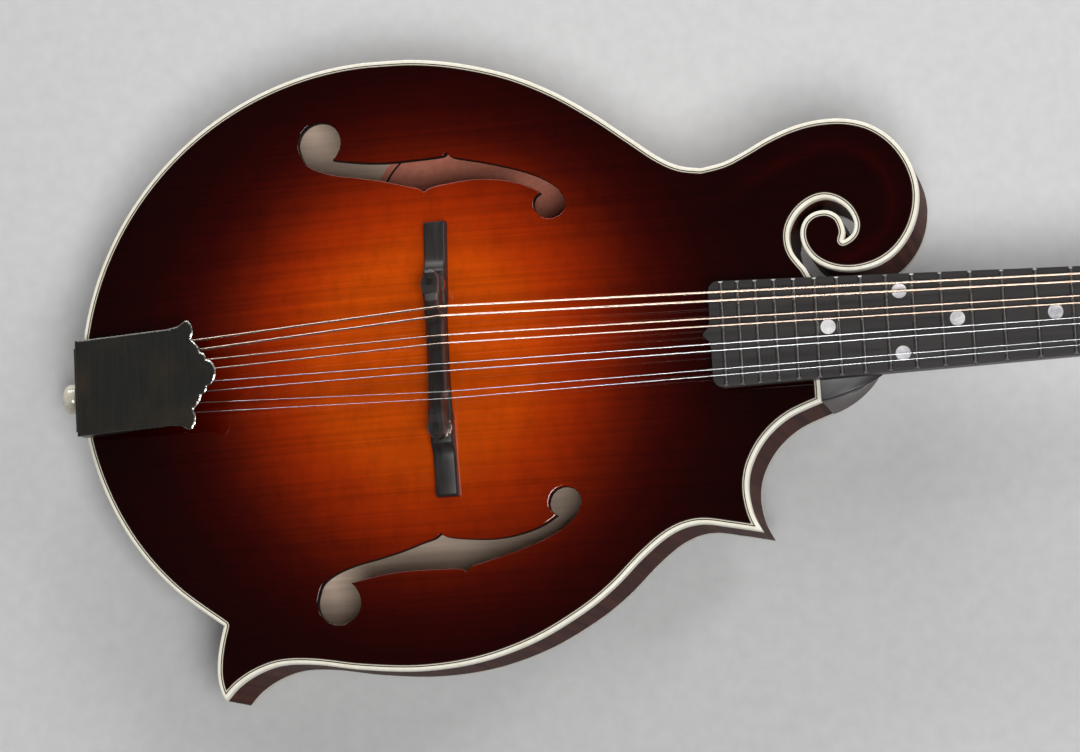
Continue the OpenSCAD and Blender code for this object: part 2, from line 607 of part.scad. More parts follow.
// a round-bottomed groove, open above, that falls away at an angle
module nut_slot(r, start, len, fall) {
    rotate([0, 90 + fall, 0]) translate([0, 0, start]) linear_extrude(height = len) {
        circle(r = r, $fn = 20);
        translate([-4, -r]) square([4, 2 * r]);
    }
}
module nut() {
    color([0.92, 0.9, 0.82]) in_neck() difference() {
        translate([scale_len, 14.8, 0]) rotate([90, 0, 0]) linear_extrude(height = 29.6)
            polygon([[0.01, nut_low], [0.01, 1.5], [0.6, 1.9], [nut_thick, 0.6],
                [nut_thick - 0.02, -head_step], [nut_thick - 0.52, nut_low]]);
        for (i = [0 : 7]) translate([scale_len + 0.6, nut_y(i), string_lift_nut + string_r(i)]) {
            nut_slot(string_r(i) + 0.06, -2, 2.2, 0);
            nut_slot(string_r(i) + 0.06, -0.4, 6, atan((string_r(i) + 0.6) / (nut_thick - 0.4)));
        }
    }
}

// ---- tuners
head_back = -overlay - head_thick;
gear_r = 6;
worm_r = 2.4;
worm_gap = gear_r + worm_r + 0.35;
shaft_r = 1.5;
plate_t = 1.2;
worm_z = head_back - plate_t - worm_r - 0.4;
gear_h = 2.9;
gear_low = worm_z - gear_h / 2;
lug_near = 10.2;
lug_far = 24.2;
lug_t = 1.4;
lug_half = 2.6;
plate_screws = [first_post - 7.5, first_post + 1.5 * post_pitch + 4.6, first_post + 3 * post_pitch + 11.8];
module tuner_plates() {
    color([0.8, 0.8, 0.78]) in_head() for (s = [-1, 1]) difference() {
        union() {
            translate([first_post - 10, s * post_offset - 7.5, head_back - plate_t])
                cube([3 * post_pitch + 24, 16, plate_t]);
            for (i = [1 : 4]) for (v = [lug_near, lug_far])
                translate([post_x(i) + worm_gap, s * (v + lug_t / 2) - lug_t / 2, worm_z - lug_half])
                    translate([-lug_half, 0, 0])
                        cube([2 * lug_half, lug_t, head_back - plate_t + 0.1 - worm_z + lug_half]);
        }
        for (i = [1 : 4]) {
            translate([post_x(i), s * post_offset, head_back - 5]) cylinder(r = post_r + 0.05, h = 10);
            translate([post_x(i) + worm_gap, 0, worm_z]) rotate([s * -90, 0, 0])
                cylinder(r = shaft_r + 0.05, h = 40);
        }
        for (x = plate_screws)
            translate([x, s * (post_offset + 5.4), head_back - 5]) cylinder(r = 1.1, h = 10, $fn = 24);
    }
}
module tuner_bushings() {
    color([0.85, 0.85, 0.83]) for (i = [1 : 8]) at_post(i) difference() {
        union() {
            cylinder(r = 5.4, h = 0.9);
            translate([0, 0, -7]) cylinder(r = 4.58, h = 7.5);
        }
        translate([0, 0, -8]) cylinder(r = post_r + 0.05, h = 12);
    }
}
coil_low = 3.2;
coil_h = 4.2;
coil_r = 4.1;
post_h = 13;
module tuner_post(i) {
    color([0.82, 0.82, 0.8]) at_post(i) {
        difference() {
            union() {
                translate([0, 0, gear_low]) cylinder(r = post_r, h = post_h - gear_low);
                translate([0, 0, coil_low]) cylinder(r = coil_r, h = coil_h);
                translate([0, 0, gear_low]) cylinder(r = gear_r, h = gear_h);
                translate([0, 0, gear_low - 1.3]) cylinder(r = 2.4, h = 1.4);
            }
            translate([0, 0, coil_low + coil_h + 1.6]) rotate([0, 90, 45]) translate([0, 0, -8])
                cylinder(r = 0.8, h = 16);
            for (a = [0 : 24 : 336]) rotate([0, 0, a]) translate([gear_r + 0.25, 0, gear_low - 1])
                cylinder(r = 0.75, h = 5, $fn = 16);
        }
    }
}
module at_worm(i) {
    in_head() translate([post_x(i) + worm_gap, 0, worm_z]) rotate([post_side(i) * -90, 0, 0]) children();
}
button_near = 29.5;
module tuner_worm(i) {
    color([0.8, 0.8, 0.78]) at_worm(i) {
        translate([0, 0, lug_near - 0.6]) cylinder(r = shaft_r, h = 31);
        translate([0, 0, lug_near + lug_t + 0.3]) rotate_extrude() polygon(concat([[0, 0]],
            [for (k = [0 : 11]) [worm_r - (k % 2) * 0.7, 0.4 + k]], [[0, 11.8]]));
        translate([0, 0, lug_far + lug_t + 0.3]) cylinder(r = 2.2, h = 1.6);
    }
}
module tuner_button(i) {
    color([0.93, 0.92, 0.86]) at_worm(i) difference() {
        union() {
            translate([0, 0, button_near]) cylinder(r1 = 2.4, r2 = 3.2, h = 2.4);
            translate([0, 3, button_near + 8.2]) rotate([90, 0, 0]) cylinder(r = 6.6, h = 6);
        }
        translate([0, 0, button_near - 1]) cylinder(r = shaft_r + 0.01, h = 12.2);
    }
}

// ---- strings, bass to treble: two G, two D, two A, two E
string_radii = [0.5, 0.33, 0.2, 0.14];
function string_r(i) = string_radii[floor(i / 2)];
bridge_ys = [18.1, 14.3, 6.4, 3.1, -5.2, -8.2, -16.6, -19.4];
nut_ys = [12.6, 9.8, 4.9, 2.3, -2.6, -4.7, -10.2, -12.2];
function nut_y(i) = nut_ys[i];
string_lift_nut = 1.35;
saddle_z = 28;
// string i winds on this tuner: G and E on the posts nearest the nut
string_post = [1, 2, 3, 4, 8, 7, 6, 5];
// a thin round tube through a few points, as one closed loft
module tube(path, r) {
    last = len(path) - 1;
    loft([for (i = [0 : last])
        let (d = path[min(i + 1, last)] - path[max(i - 1, 0)],
            t = d / norm(d),
            side = cross([0, 0, 1], t) / norm(cross([0, 0, 1], t)),
            up = cross(t, side))
        [for (a = [0 : 45 : 315]) path[i] + r * (cos(a) * side + sin(a) * up)]]);
}
function neck_to_body(p) = [p.x * cos(neck_angle) + p.z * sin(neck_angle), p.y,
    board_height - p.x * sin(neck_angle) + p.z * cos(neck_angle)];
function head_to_body(p) = neck_to_body([
    scale_len + nut_thick + p.x * cos(head_tilt) + p.z * sin(head_tilt),
    p.y, -head_step - p.x * sin(head_tilt) + p.z * cos(head_tilt)]);
function post_touch(i) = let (t = string_post[i])
    [post_x(t) - 0.5, post_side(t) * (post_offset - coil_r - string_r(i) - 0.15), coil_low + coil_h / 2];
module string(i) {
    hook = [hook_x, course_y(i) * 0.97, 13.6];
    saddle = [-1, bridge_ys[i], saddle_z];
    over_nut = neck_to_body([scale_len + 0.6, nut_y(i), string_lift_nut + string_r(i)]);
    behind_nut = neck_to_body([scale_len + nut_thick + 0.2, nut_y(i) + 0.01, string_lift_nut - 0.6]);
    tube([hook, saddle, over_nut, behind_nut, head_to_body(post_touch(i))], string_r(i));
}
module wound_strings() {
    color([0.8, 0.5, 0.3]) for (i = [0 : 3]) string(i);
}
module plain_strings() {
    color([0.8, 0.8, 0.8]) for (i = [4 : 7]) string(i);
}

// ---- small screws: three in the tailpiece, six in the tuner plates, three in the rod's cover
tail_screws = [[10, -9], [-10, -9], [0, -31]];
module screw(r, h) {
    cylinder(r = r * 0.6, h = h);
    rotate_extrude() polygon([[0, -0.8], [r, -0.6], [r * 1.3, 0], [0, 0]]);
}
module tail_bores() {
    for (p = tail_screws) translate([tail_x - 5, p.x, p.y]) rotate([0, 90, 0]) cylinder(r = 1.22, h = 20);
}
module plate_bores() {
    in_head() for (s = [-1, 1])
        for (x = plate_screws)
            translate([x, s * (post_offset + 5.4), head_back - 2]) cylinder(r = 1.04, h = 9);
}
module cover_bores() {
    in_head() for (p = cover_screws) translate([p.x, p.y, -4]) cylinder(r = 0.92, h = 6);
}
module screws() {
    color([0.7, 0.7, 0.68]) {
        for (p = tail_screws) translate([tail_x - flange - 0.02, p.x, p.y]) rotate([0, 90, 0]) screw(2, 8);
        in_head() for (s = [-1, 1])
            for (x = plate_screws)
                translate([x, s * (post_offset + 5.4), head_back - plate_t - 0.02]) screw(1.7, 6);
        in_head() for (p = cover_screws) translate([p.x, p.y, 1.52]) mirror([0, 0, 1]) screw(1.5, 5);
    }
}

in_rest() top_plate();
in_rest() back_plate();
in_rest() head_block();
in_rest() scroll_block();
in_rest() rib_bass();
in_rest() rib_tail();
in_rest() rib_waist();
in_rest() rib_heel();
in_rest() inner_blocks();
in_rest() inner_bracing();
in_rest() bindings();
in_rest() top_purfling();
in_rest() endpin();
in_rest() tailpiece_base();
in_rest() tailpiece_cover();
in_rest() screws();
in_rest() bridge_base();
in_rest() bridge_saddle();
in_rest() bridge_studs();
in_rest() thumbwheel(1);  // thumbwheel_bass
in_rest() thumbwheel(-1);  // thumbwheel_treble
in_rest() neck();
in_rest() truss_rod();
in_rest() truss_rod_nut();
in_rest() truss_rod_cover();
in_rest() fingerboard();
in_rest() extension_riser();
in_rest() frets();
in_rest() pearl_inlays();
in_rest() nut();
in_rest() headstock_overlay();
in_rest() tuner_plates();
in_rest() tuner_bushings();
in_rest() wound_strings();
in_rest() plain_strings();
in_rest() label();
for (i = [1 : 8]) {
    in_rest() tuner_button(i);
    in_rest() tuner_worm(i);
    in_rest() tuner_post(i);
}
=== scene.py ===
"""The looks of a scroll-bodied mandolin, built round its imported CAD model."""
import json
import math

import bmesh
import bpy
import numpy as np
from mathutils import Matrix, Vector
from mathutils.geometry import delaunay_2d_cdt


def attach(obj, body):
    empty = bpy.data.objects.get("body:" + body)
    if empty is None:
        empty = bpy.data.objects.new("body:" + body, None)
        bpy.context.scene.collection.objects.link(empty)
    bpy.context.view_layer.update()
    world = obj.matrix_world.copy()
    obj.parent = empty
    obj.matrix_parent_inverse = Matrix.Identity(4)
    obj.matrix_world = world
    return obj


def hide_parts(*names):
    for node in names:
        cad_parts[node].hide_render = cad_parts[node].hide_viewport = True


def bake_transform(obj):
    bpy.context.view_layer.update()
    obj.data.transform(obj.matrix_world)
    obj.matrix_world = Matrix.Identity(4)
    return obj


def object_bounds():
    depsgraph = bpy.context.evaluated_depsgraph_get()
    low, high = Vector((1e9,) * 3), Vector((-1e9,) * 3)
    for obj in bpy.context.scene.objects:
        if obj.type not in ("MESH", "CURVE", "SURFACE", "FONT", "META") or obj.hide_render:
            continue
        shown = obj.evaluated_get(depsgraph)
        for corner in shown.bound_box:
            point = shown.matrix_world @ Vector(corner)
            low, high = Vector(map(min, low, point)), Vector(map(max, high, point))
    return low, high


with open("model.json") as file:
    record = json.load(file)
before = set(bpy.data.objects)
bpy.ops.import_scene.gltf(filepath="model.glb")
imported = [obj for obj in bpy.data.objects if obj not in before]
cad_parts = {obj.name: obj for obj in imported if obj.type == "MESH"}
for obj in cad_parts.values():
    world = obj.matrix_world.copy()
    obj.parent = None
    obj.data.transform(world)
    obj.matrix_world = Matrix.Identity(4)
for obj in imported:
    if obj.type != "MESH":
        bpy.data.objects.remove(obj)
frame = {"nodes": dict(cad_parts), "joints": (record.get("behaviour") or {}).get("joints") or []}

CAD_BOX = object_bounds()
JOINT = {j["name"]: j for j in frame["joints"]}


# ---- frames of the design, in millimetres, laid in the row's frame by the joints' own axes
def unit(v):
    v = np.asarray(v, float)
    return v / np.linalg.norm(v)


class Place:
    """A design frame: x along, y across, z up, in millimetres."""

    def __init__(self, origin, along, up):
        self.basis = np.array([along, np.cross(up, along), up])
        self.origin = np.asarray(origin, float)

    def __call__(self, points):
        return np.asarray(points, float) / 1000 @ self.basis + self.origin


ACROSS = np.array([0.0, 1.0, 0.0])
SADDLE_X = -5.5
WHEEL_Z = 18.2
BOARD_HEIGHT = 24.0
SCALE = 354.5
NUT_THICK = 4.5
FIRST_POST = 30.0
body_up = unit(JOINT["saddle_height"]["axis"])
body_along = np.cross(ACROSS, body_up)
wheels = [JOINT["wheel_bass_turn"]["pos_m"], JOINT["wheel_treble_turn"]["pos_m"]]
body_origin = np.mean(wheels, 0) - (SADDLE_X * body_along + WHEEL_Z * body_up) / 1000
BODY = Place(body_origin, body_along, body_up)
neck_along = unit(JOINT["rod_nut_turn"]["axis"])
NECK = Place(BODY([[0, 0, BOARD_HEIGHT]])[0], neck_along, np.cross(neck_along, ACROSS))
head_up = unit(JOINT["post_1_turn"]["axis"])
head_along = np.cross(ACROSS, head_up)
first_posts = [JOINT["post_1_turn"]["pos_m"], JOINT["post_5_turn"]["pos_m"]]
HEAD = Place(np.mean(first_posts, 0) - FIRST_POST / 1000 * head_along, head_along, head_up)


# ---- curves and distances
def catmull(points, n=8):
    p = np.asarray(points, float)
    out = []
    t = np.arange(n)[:, None] / n
    for i in range(len(p) - 1):
        a, b, c, d = p[max(i - 1, 0)], p[i], p[i + 1], p[min(i + 2, len(p) - 1)]
        out.append(0.5 * (2 * b + (c - a) * t + (2 * a - 5 * b + 4 * c - d) * t**2
                          + (3 * b - a - 3 * c + d) * t**3))
    return np.vstack(out + [p[-1:]])


def resample(points, step):
    p = np.asarray(points, float)
    s = np.concatenate([[0], np.cumsum(np.linalg.norm(np.diff(p, axis=0), axis=1))])
    n = max(1, math.ceil(s[-1] / step))
    at = np.linspace(0, s[-1], n + 1)
    return np.stack([np.interp(at, s, p[:, k]) for k in range(p.shape[1])], 1)


def ease(t):
    u = np.clip(t, 0, 1)
    return u * u * (3 - 2 * u)


def distance(points, lines):
    """The distance from each point to the nearest of the polylines."""
    a = np.vstack([q[:-1] for q in lines])
    b = np.vstack([q[1:] for q in lines])
    d = b - a
    size = np.maximum((d * d).sum(1), 1e-12)
    out = np.empty(len(points))
    for k in range(0, len(points), 1500):
        p = points[k : k + 1500, None, :]
        t = np.clip(((p - a) * d).sum(2) / size, 0, 1)
        out[k : k + 1500] = np.sqrt((((a + t[..., None] * d) - p) ** 2).sum(2).min(1))
    return out


def inside(points, loop):
    """True for each point inside a closed loop."""
    x, y = points[:, 0], points[:, 1]
    found = np.zeros(len(points), bool)
    for (ax, ay), (bx, by) in zip(loop, np.roll(loop, -1, 0)):
        if ay == by:
            continue
        cross = (ay > y) != (by > y)
        found ^= cross & (x < (bx - ax) * (y - ay) / (by - ay) + ax)
    return found


# ---- the body's outline
NECK_END = 147.0
SLOT_WALL = [[144, 26.5], [139.5, 33], [138.3, 39.2], [139.6, 44.6], [143.2, 49.6], [148.3, 53],
             [153.4, 54], [158.4, 52.3], [162.6, 48.5], [164.8, 43.4], [164.3, 39.6], [162.4, 37.4],
             [160, 36.2]]
SCROLL_EDGE = [[160, 36.2], [160.9, 40.2], [159.3, 45.6], [156, 48.4], [152.4, 49.2], [148.2, 48.4],
               [144.8, 45.8], [143, 41.6], [143.2, 36.8], [145.3, 32], [149, 28], [154.5, 25],
               [161, 23.5], [168, 23.8], [175.3, 26], [181.9, 30.5], [187.4, 37.6], [190.8, 46.6],
               [191.4, 56.5], [188.6, 66.6], [182.6, 75.8], [174.1, 82.5], [164, 85.9], [153, 86.4],
               [142.5, 84.7], [131.9, 81], [122.3, 76.3], [113.5, 72.6], [104, 70.9]]
BASS_WAIST = [[104, 70.9], [95, 72.8], [86.4, 77.6], [75, 86.6], [61.5, 97.2], [45, 108.3],
              [26.5, 117.5], [6, 124], [-13, 127.4], [-31.8, 128.2]]
TREBLE_BOUT = [[-161.5, 0], [-158.8, -23], [-151.4, -46], [-139.8, -67.2], [-124, -85.8],
               [-103.9, -101.8]]
TAIL_HORN = [[-103.9, -101.8], [-105.8, -108.6], [-107.1, -116], [-107.3, -123], [-106, -129.2],
             [-104.2, -132.4]]
TREBLE_WAIST = [[-104.2, -132.4], [-98.8, -127], [-90.5, -122.2], [-80, -119.4], [-66, -120],
                [-46, -123.4], [-22, -125.4], [2, -123.4], [24.5, -117], [44.5, -107],
                [58.5, -97.3], [72.2, -84.9], [83.8, -76.8], [95, -74], [108, -76.2], [120.5, -79]]
HEEL_WAIST = [[120.5, -79], [117, -71.2], [115.6, -61], [117.6, -51.4], [123.8, -41.5],
              [133.7, -33.6], [147.2, -28.4]]
bout_angle = np.radians(np.linspace(90, 180, 120))
BASS_BOUT = np.stack([-31.8 + 129.7 * np.cos(bout_angle), 128.2 * np.sin(bout_angle)], 1)
STEP = 1.1
stretches = [resample(catmull(SLOT_WALL), 0.7), resample(catmull(SCROLL_EDGE), 0.8),
             resample(catmull(BASS_WAIST), STEP), resample(BASS_BOUT, STEP),
             resample(catmull(TREBLE_BOUT), STEP), resample(catmull(TAIL_HORN), 0.8),
             resample(catmull(TREBLE_WAIST), STEP), resample(catmull(HEEL_WAIST), 0.9),
             resample([[147.2, -28.4], [NECK_END, 20.6]], 1.2),
             resample([[NECK_END, 20.6], [144, 26.5]], 1.0)]
OUTLINE = np.vstack([q[:-1] for q in stretches])
OUTLINE_LINES = [np.vstack([OUTLINE, OUTLINE[:1]])]


def side_normals(q):
    t = np.gradient(q, axis=0)
    t /= np.linalg.norm(t, axis=1)[:, None]
    return np.stack([-t[:, 1], t[:, 0]], 1)


def inset(d):
    """The outline moved inwards by d, as points in order, without foldovers."""
    out = []
    normals = [side_normals(q) for q in stretches]
    for k, q in enumerate(stretches):
        out.append(q[:-1] + d * normals[k][:-1])
        end, n1, n2 = q[-1], normals[k][-1], normals[(k + 1) % len(stretches)][0]
        if n1[0] * n2[1] - n1[1] * n2[0] < -0.05:
            turn = math.atan2(n1[0] * n2[1] - n1[1] * n2[0], n1 @ n2)
            for s in np.linspace(0, 1, 7):
                a = turn * s
                n = np.array([n1[0] * math.cos(a) - n1[1] * math.sin(a),
                              n1[0] * math.sin(a) + n1[1] * math.cos(a)])
                out.append([end + d * n])
        else:
            out.append([end + d * n1, end + d * (n1 + n2) / (1 + n1 @ n2)])
    out = np.vstack(out)
    out = out[distance(out, OUTLINE_LINES) > d * 0.985 - 0.001]
    gap = np.linalg.norm(out - np.roll(out, 1, 0), axis=1)
    return out[gap > 0.12]


# ---- the sound holes
BIG_EYE = np.array([-52.6, 95.6])
SMALL_EYE = np.array([42, 61.8])
F_INNER_TAIL = [[-61.5, 94.5], [-59.4, 88.4], [-54.5, 84.5], [-46, 81.3], [-36, 79.2], [-26, 76.8],
                [-17, 74], [-11.5, 72.4], [-9, 70.6]]
F_INNER_HEAD = [[-9, 70.6], [-6.2, 72.3], [4, 73.8], [14, 74.2], [24, 72.8], [32.5, 70], [38.4, 66.4]]
F_OUTER_HEAD = [[48.4, 62.5], [45.4, 67.6], [40, 72], [32.4, 75.8], [24, 78.8], [15.6, 81.3],
                [7.2, 83.4], [2.8, 84.6], [0.3, 86.7]]
F_OUTER_TAIL = [[0.3, 86.7], [-2.2, 85.3], [-15, 84.8], [-26, 84.8], [-37, 86], [-47.2, 88]]


def eye_arc(centre, radius, start, end):
    """The far side of an eye, from point start to point end, anticlockwise."""
    a0 = math.atan2(*(np.array(start) - centre)[::-1])
    a1 = math.atan2(*(np.array(end) - centre)[::-1])
    if a1 <= a0:
        a1 += 2 * math.pi
    s = np.linspace(0, 1, 60)
    r0, r1 = math.dist(start, centre), math.dist(end, centre)
    r = radius + (r0 - radius) * ease(1 - s * 7) + (r1 - radius) * ease(1 - (1 - s) * 7)
    a = a0 + (a1 - a0) * s
    return np.stack([centre[0] + r * np.cos(a), centre[1] + r * np.sin(a)], 1)


f_parts = [catmull(F_INNER_TAIL), catmull(F_INNER_HEAD),
           eye_arc(SMALL_EYE, 6.6, F_INNER_HEAD[-1], F_OUTER_HEAD[0]),
           catmull(F_OUTER_HEAD), catmull(F_OUTER_TAIL),
           eye_arc(BIG_EYE, 9.0, F_OUTER_TAIL[-1], F_INNER_TAIL[0])]
F_BASS = np.vstack([resample(q, 0.8)[:-1] for q in f_parts])
F_BASS[:, 0] -= 1.35 - 0.0155 * F_BASS[:, 0]
F_TREBLE = F_BASS[::-1] * [1, -1]


# ---- the carved surfaces, from z = 0 at the top's rim
TOP_ARCH = 11.5
BACK_ARCH = 11.0
PLATE_EDGE = 4.3
PLATE_SWELL = 0.5
RIM_DEPTH = 43.0
GLUE_GAP = 0.02
CREST_TALL = 1.7


def bowl(x, y):
    half = 113 - 53 * ease((x + 10) / 130)
    u = (x + 19) / np.where(x < -19, 128, 188)
    return (1 + np.cos(np.pi * np.minimum(np.hypot(u, y / half), 1))) / 2


CREST = resample(catmull([[96, 46.5], [111.9, 53.1], [124.8, 59.6], [137.8, 66.4], [148, 70.3],
                          [158.5, 71.3], [167.3, 68.6], [173.4, 63.2], [176.8, 56.2], [177.3, 48.8],
                          [175, 41.8], [169.6, 36.4], [162, 32.6]]), 1.0)


def crest_height(x, y):
    """The carved ridge that winds into the scroll: a crisp line with a hollow on each side."""
    p = np.stack([x, y], 1)
    out = np.zeros(len(p))
    near = np.flatnonzero((x > 84) & (y > 18))
    q = p[near]
    gap = np.linalg.norm(q[:, None, :] - CREST[None], axis=2)
    k = gap.argmin(1)
    d = gap.min(1)
    share = k / (len(CREST) - 1)
    tall = CREST_TALL * ease(share / 0.38) * ease((1 - share) / 0.22)
    edge = distance(q, OUTLINE_LINES)
    fall = np.exp(-d / 6.5) * ease((edge - 2.8) / 6)
    out[near] = tall * fall
    return out


def top_z(x, y):
    return TOP_ARCH * bowl(x, y) + crest_height(x, y)


def top_under_z(x, y):
    return (TOP_ARCH - PLATE_SWELL) * bowl(x, y) - PLATE_EDGE


def back_z(x, y):
    return -RIM_DEPTH - BACK_ARCH * bowl(x, y) - crest_height(x, y)


def back_inside_z(x, y):
    return PLATE_EDGE - RIM_DEPTH - (BACK_ARCH - PLATE_SWELL) * bowl(x, y)


def fillet(d, r):
    u = np.clip(r - d, 0, r)
    return r - np.sqrt(np.maximum(r * r - u * u, 0))


# ---- mesh helpers
def mesh_piece(name, points, faces, material, sharp=35.0):
    mesh = bpy.data.meshes.new(name)
    mesh.from_pydata(np.asarray(points, float).tolist(), [], [list(map(int, f)) for f in faces])
    mesh.materials.append(material)
    obj = bpy.data.objects.new(name, mesh)
    bpy.context.scene.collection.objects.link(obj)
    crisp(obj, sharp)
    return obj


def crisp(obj, angle):
    """Smooth shading, with edges sharper than angle kept crisp."""
    bm = bmesh.new()
    bm.from_mesh(obj.data)
    bmesh.ops.recalc_face_normals(bm, faces=bm.faces)
    limit = math.radians(angle)
    for f in bm.faces:
        f.smooth = True
    for e in bm.edges:
        e.smooth = e.calc_face_angle(0.0) < limit
    bm.to_mesh(obj.data)
    bm.free()


def settle(obj, body, nodes=()):
    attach(obj, body)
    if nodes:
        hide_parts(*nodes)
    return obj


def closed_slab(points, triangles, upper, lower):
    """Top, underside and walls of a flat set of triangles, as one closed mesh."""
    used = np.unique(triangles)
    remap = -np.ones(len(points), int)
    remap[used] = np.arange(len(used))
    p, t = points[used], remap[triangles]
    n = len(p)
    verts = np.vstack([np.column_stack([p, upper[used]]), np.column_stack([p, lower[used]])])
    edges = np.vstack([t[:, [0, 1]], t[:, [1, 2]], t[:, [2, 0]]])
    key = edges.min(1) * n + edges.max(1)
    once = np.unique(key, return_counts=True)
    border = edges[np.isin(key, once[0][once[1] == 1])]
    faces = list(t) + list(t[:, ::-1] + n) + [(a, a + n, b + n, b) for a, b in border]
    return verts, faces, used


def triangulate(loops, free):
    """Triangles between closed loops of points, with free points in between."""
    points = np.vstack(loops + [free])
    edges, at = [], 0
    for q in loops:
        k = np.arange(len(q))
        edges += list(zip((at + k).tolist(), (at + (k + 1) % len(q)).tolist()))
        at += len(q)
    got = delaunay_2d_cdt([Vector(p) for p in points], edges, [], 0, 1e-5)
    return np.array([v[:] for v in got[0]]), np.array([f for f in got[2]])


BINDING = 1.5
PURFLING = 2.7
rows = {d: inset(d) for d in (0.08, 0.25, 0.5, 0.8, BINDING, PURFLING)}
loose = [rows[d] for d in (0.08, 0.25, 0.5, 0.8)]
for d in (1.15, 2.1, 3.5, 4.6, 5.8, 7.0):
    loose.append(inset(d)[:: 1 if d < 3 else 2])


def hex_grid(step):
    xs = np.arange(-164, 194, step)
    ys = np.arange(-134, 131, step * 0.866)
    g = np.stack(np.meshgrid(xs, ys), -1).astype(float)
    g[1::2, :, 0] += step / 2
    return g.reshape(-1, 2)


def plate_mesh(holes, step):
    """Points, triangles and edge distance over the whole outline, less the holes."""
    grid = hex_grid(step)
    grid = grid[inside(grid, OUTLINE)]
    grid = grid[distance(grid, OUTLINE_LINES) > 8.2]
    rim = []
    for hole in holes:
        ring = np.vstack([hole, hole[:1]])
        n = side_normals(ring)[:-1]
        for d in (0.12, 0.3, 0.6, 1.4):
            q = hole + d * -n if inside(hole[:1] + 0.05 * n[:1], hole)[0] else hole + d * n
            rim.append(q[distance(q, [ring]) > 0.97 * d])
        keep = (distance(grid, [ring]) > 2.2) & ~inside(grid, hole)
        grid = grid[keep]
    crest = CREST[4:-4]
    if holes:
        grid = grid[distance(grid, [crest]) > 1.0]
        rim.append(crest)
        n = side_normals(crest)
        rim += [crest + 0.9 * n, crest - 0.9 * n]
    free = np.vstack(loose + rim + [grid])
    p, t = triangulate([OUTLINE, rows[BINDING], rows[PURFLING], *holes], free)
    middle = p[t].mean(1)
    keep = inside(middle, OUTLINE)
    for hole in holes:
        keep &= ~inside(middle, hole)
    t = t[keep]
    area = np.cross(p[t[:, 1]] - p[t[:, 0]], p[t[:, 2]] - p[t[:, 0]])
    t[area < 0] = t[area < 0][:, ::-1]
    t = t[np.abs(area) > 1e-7]
    return p, t, distance(p, OUTLINE_LINES), distance(p[t].mean(1), OUTLINE_LINES)


# ---- materials
def material(name, roughness=0.5, metallic=0.0, coat=0.0, coat_roughness=0.03, specular=0.5):
    mat = bpy.data.materials.new(name)
    mat.use_nodes = True
    tree = mat.node_tree
    tree.nodes.clear()
    out = tree.nodes.new("ShaderNodeOutputMaterial")
    shader = tree.nodes.new("ShaderNodeBsdfPrincipled")
    tree.links.new(shader.outputs[0], out.inputs[0])
    shader.inputs["Roughness"].default_value = roughness
    shader.inputs["Metallic"].default_value = metallic
    shader.inputs["Coat Weight"].default_value = coat
    shader.inputs["Coat Roughness"].default_value = coat_roughness
    shader.inputs["Specular IOR Level"].default_value = specular
    return mat, tree, shader


def add(tree, kind, **values):
    node = tree.nodes.new("ShaderNode" + kind)
    for key, value in values.items():
        if hasattr(node, key):
            setattr(node, key, value)
        else:
            node.inputs[key].default_value = value
    return node


def coords(tree, scale=(1, 1, 1), turn=(0, 0, 0)):
    where = add(tree, "TexCoord")
    mapping = add(tree, "Mapping")
    mapping.inputs["Scale"].default_value = scale
    mapping.inputs["Rotation"].default_value = turn
    tree.links.new(where.outputs["Object"], mapping.inputs[0])
    return mapping.outputs[0]


def noise(tree, vector, scale, detail=4.0, rough=0.5, distort=0.0):
    node = add(tree, "TexNoise")
    node.inputs["Scale"].default_value = scale
    node.inputs["Detail"].default_value = detail
    node.inputs["Roughness"].default_value = rough
    node.inputs["Distortion"].default_value = distort
    tree.links.new(vector, node.inputs["Vector"])
    return node.outputs[0]


def ramp(tree, value, stops, mode="LINEAR"):
    node = add(tree, "ValToRGB")
    node.color_ramp.interpolation = mode
    while len(node.color_ramp.elements) < len(stops):
        node.color_ramp.elements.new(0.5)
    for element, (at, colour) in zip(node.color_ramp.elements, stops):
        element.position = at
        element.color = (*colour, 1) if len(colour) == 3 else (colour[0],) * 3 + (1,)
    tree.links.new(value, node.inputs[0])
    return node.outputs[0]


def mix(tree, a, b, factor, mode="MIX"):
    node = add(tree, "Mix", data_type="RGBA", blend_type=mode)
    for socket, value in zip((node.inputs[0], node.inputs[6], node.inputs[7]), (factor, a, b)):
        if hasattr(value, "is_linked"):
            tree.links.new(value, socket)
        elif isinstance(value, (int, float)):
            socket.default_value = value
        else:
            socket.default_value = (*value, 1)
    return node.outputs[2]


def bump(tree, shader, height, strength, depth):
    node = add(tree, "Bump")
    node.inputs["Strength"].default_value = strength
    node.inputs["Distance"].default_value = depth
    tree.links.new(height, node.inputs["Height"])
    tree.links.new(node.outputs[0], shader.inputs["Normal"])


def attribute(tree, name):
    return add(tree, "Attribute", attribute_name=name).outputs["Fac"]


def spread(tree, shader, value, low, high):
    """Roughness that varies between low and high."""
    node = add(tree, "MapRange")
    node.inputs["To Min"].default_value = low
    node.inputs["To Max"].default_value = high
    tree.links.new(value, node.inputs["Value"])
    tree.links.new(node.outputs[0], shader.inputs["Roughness"])


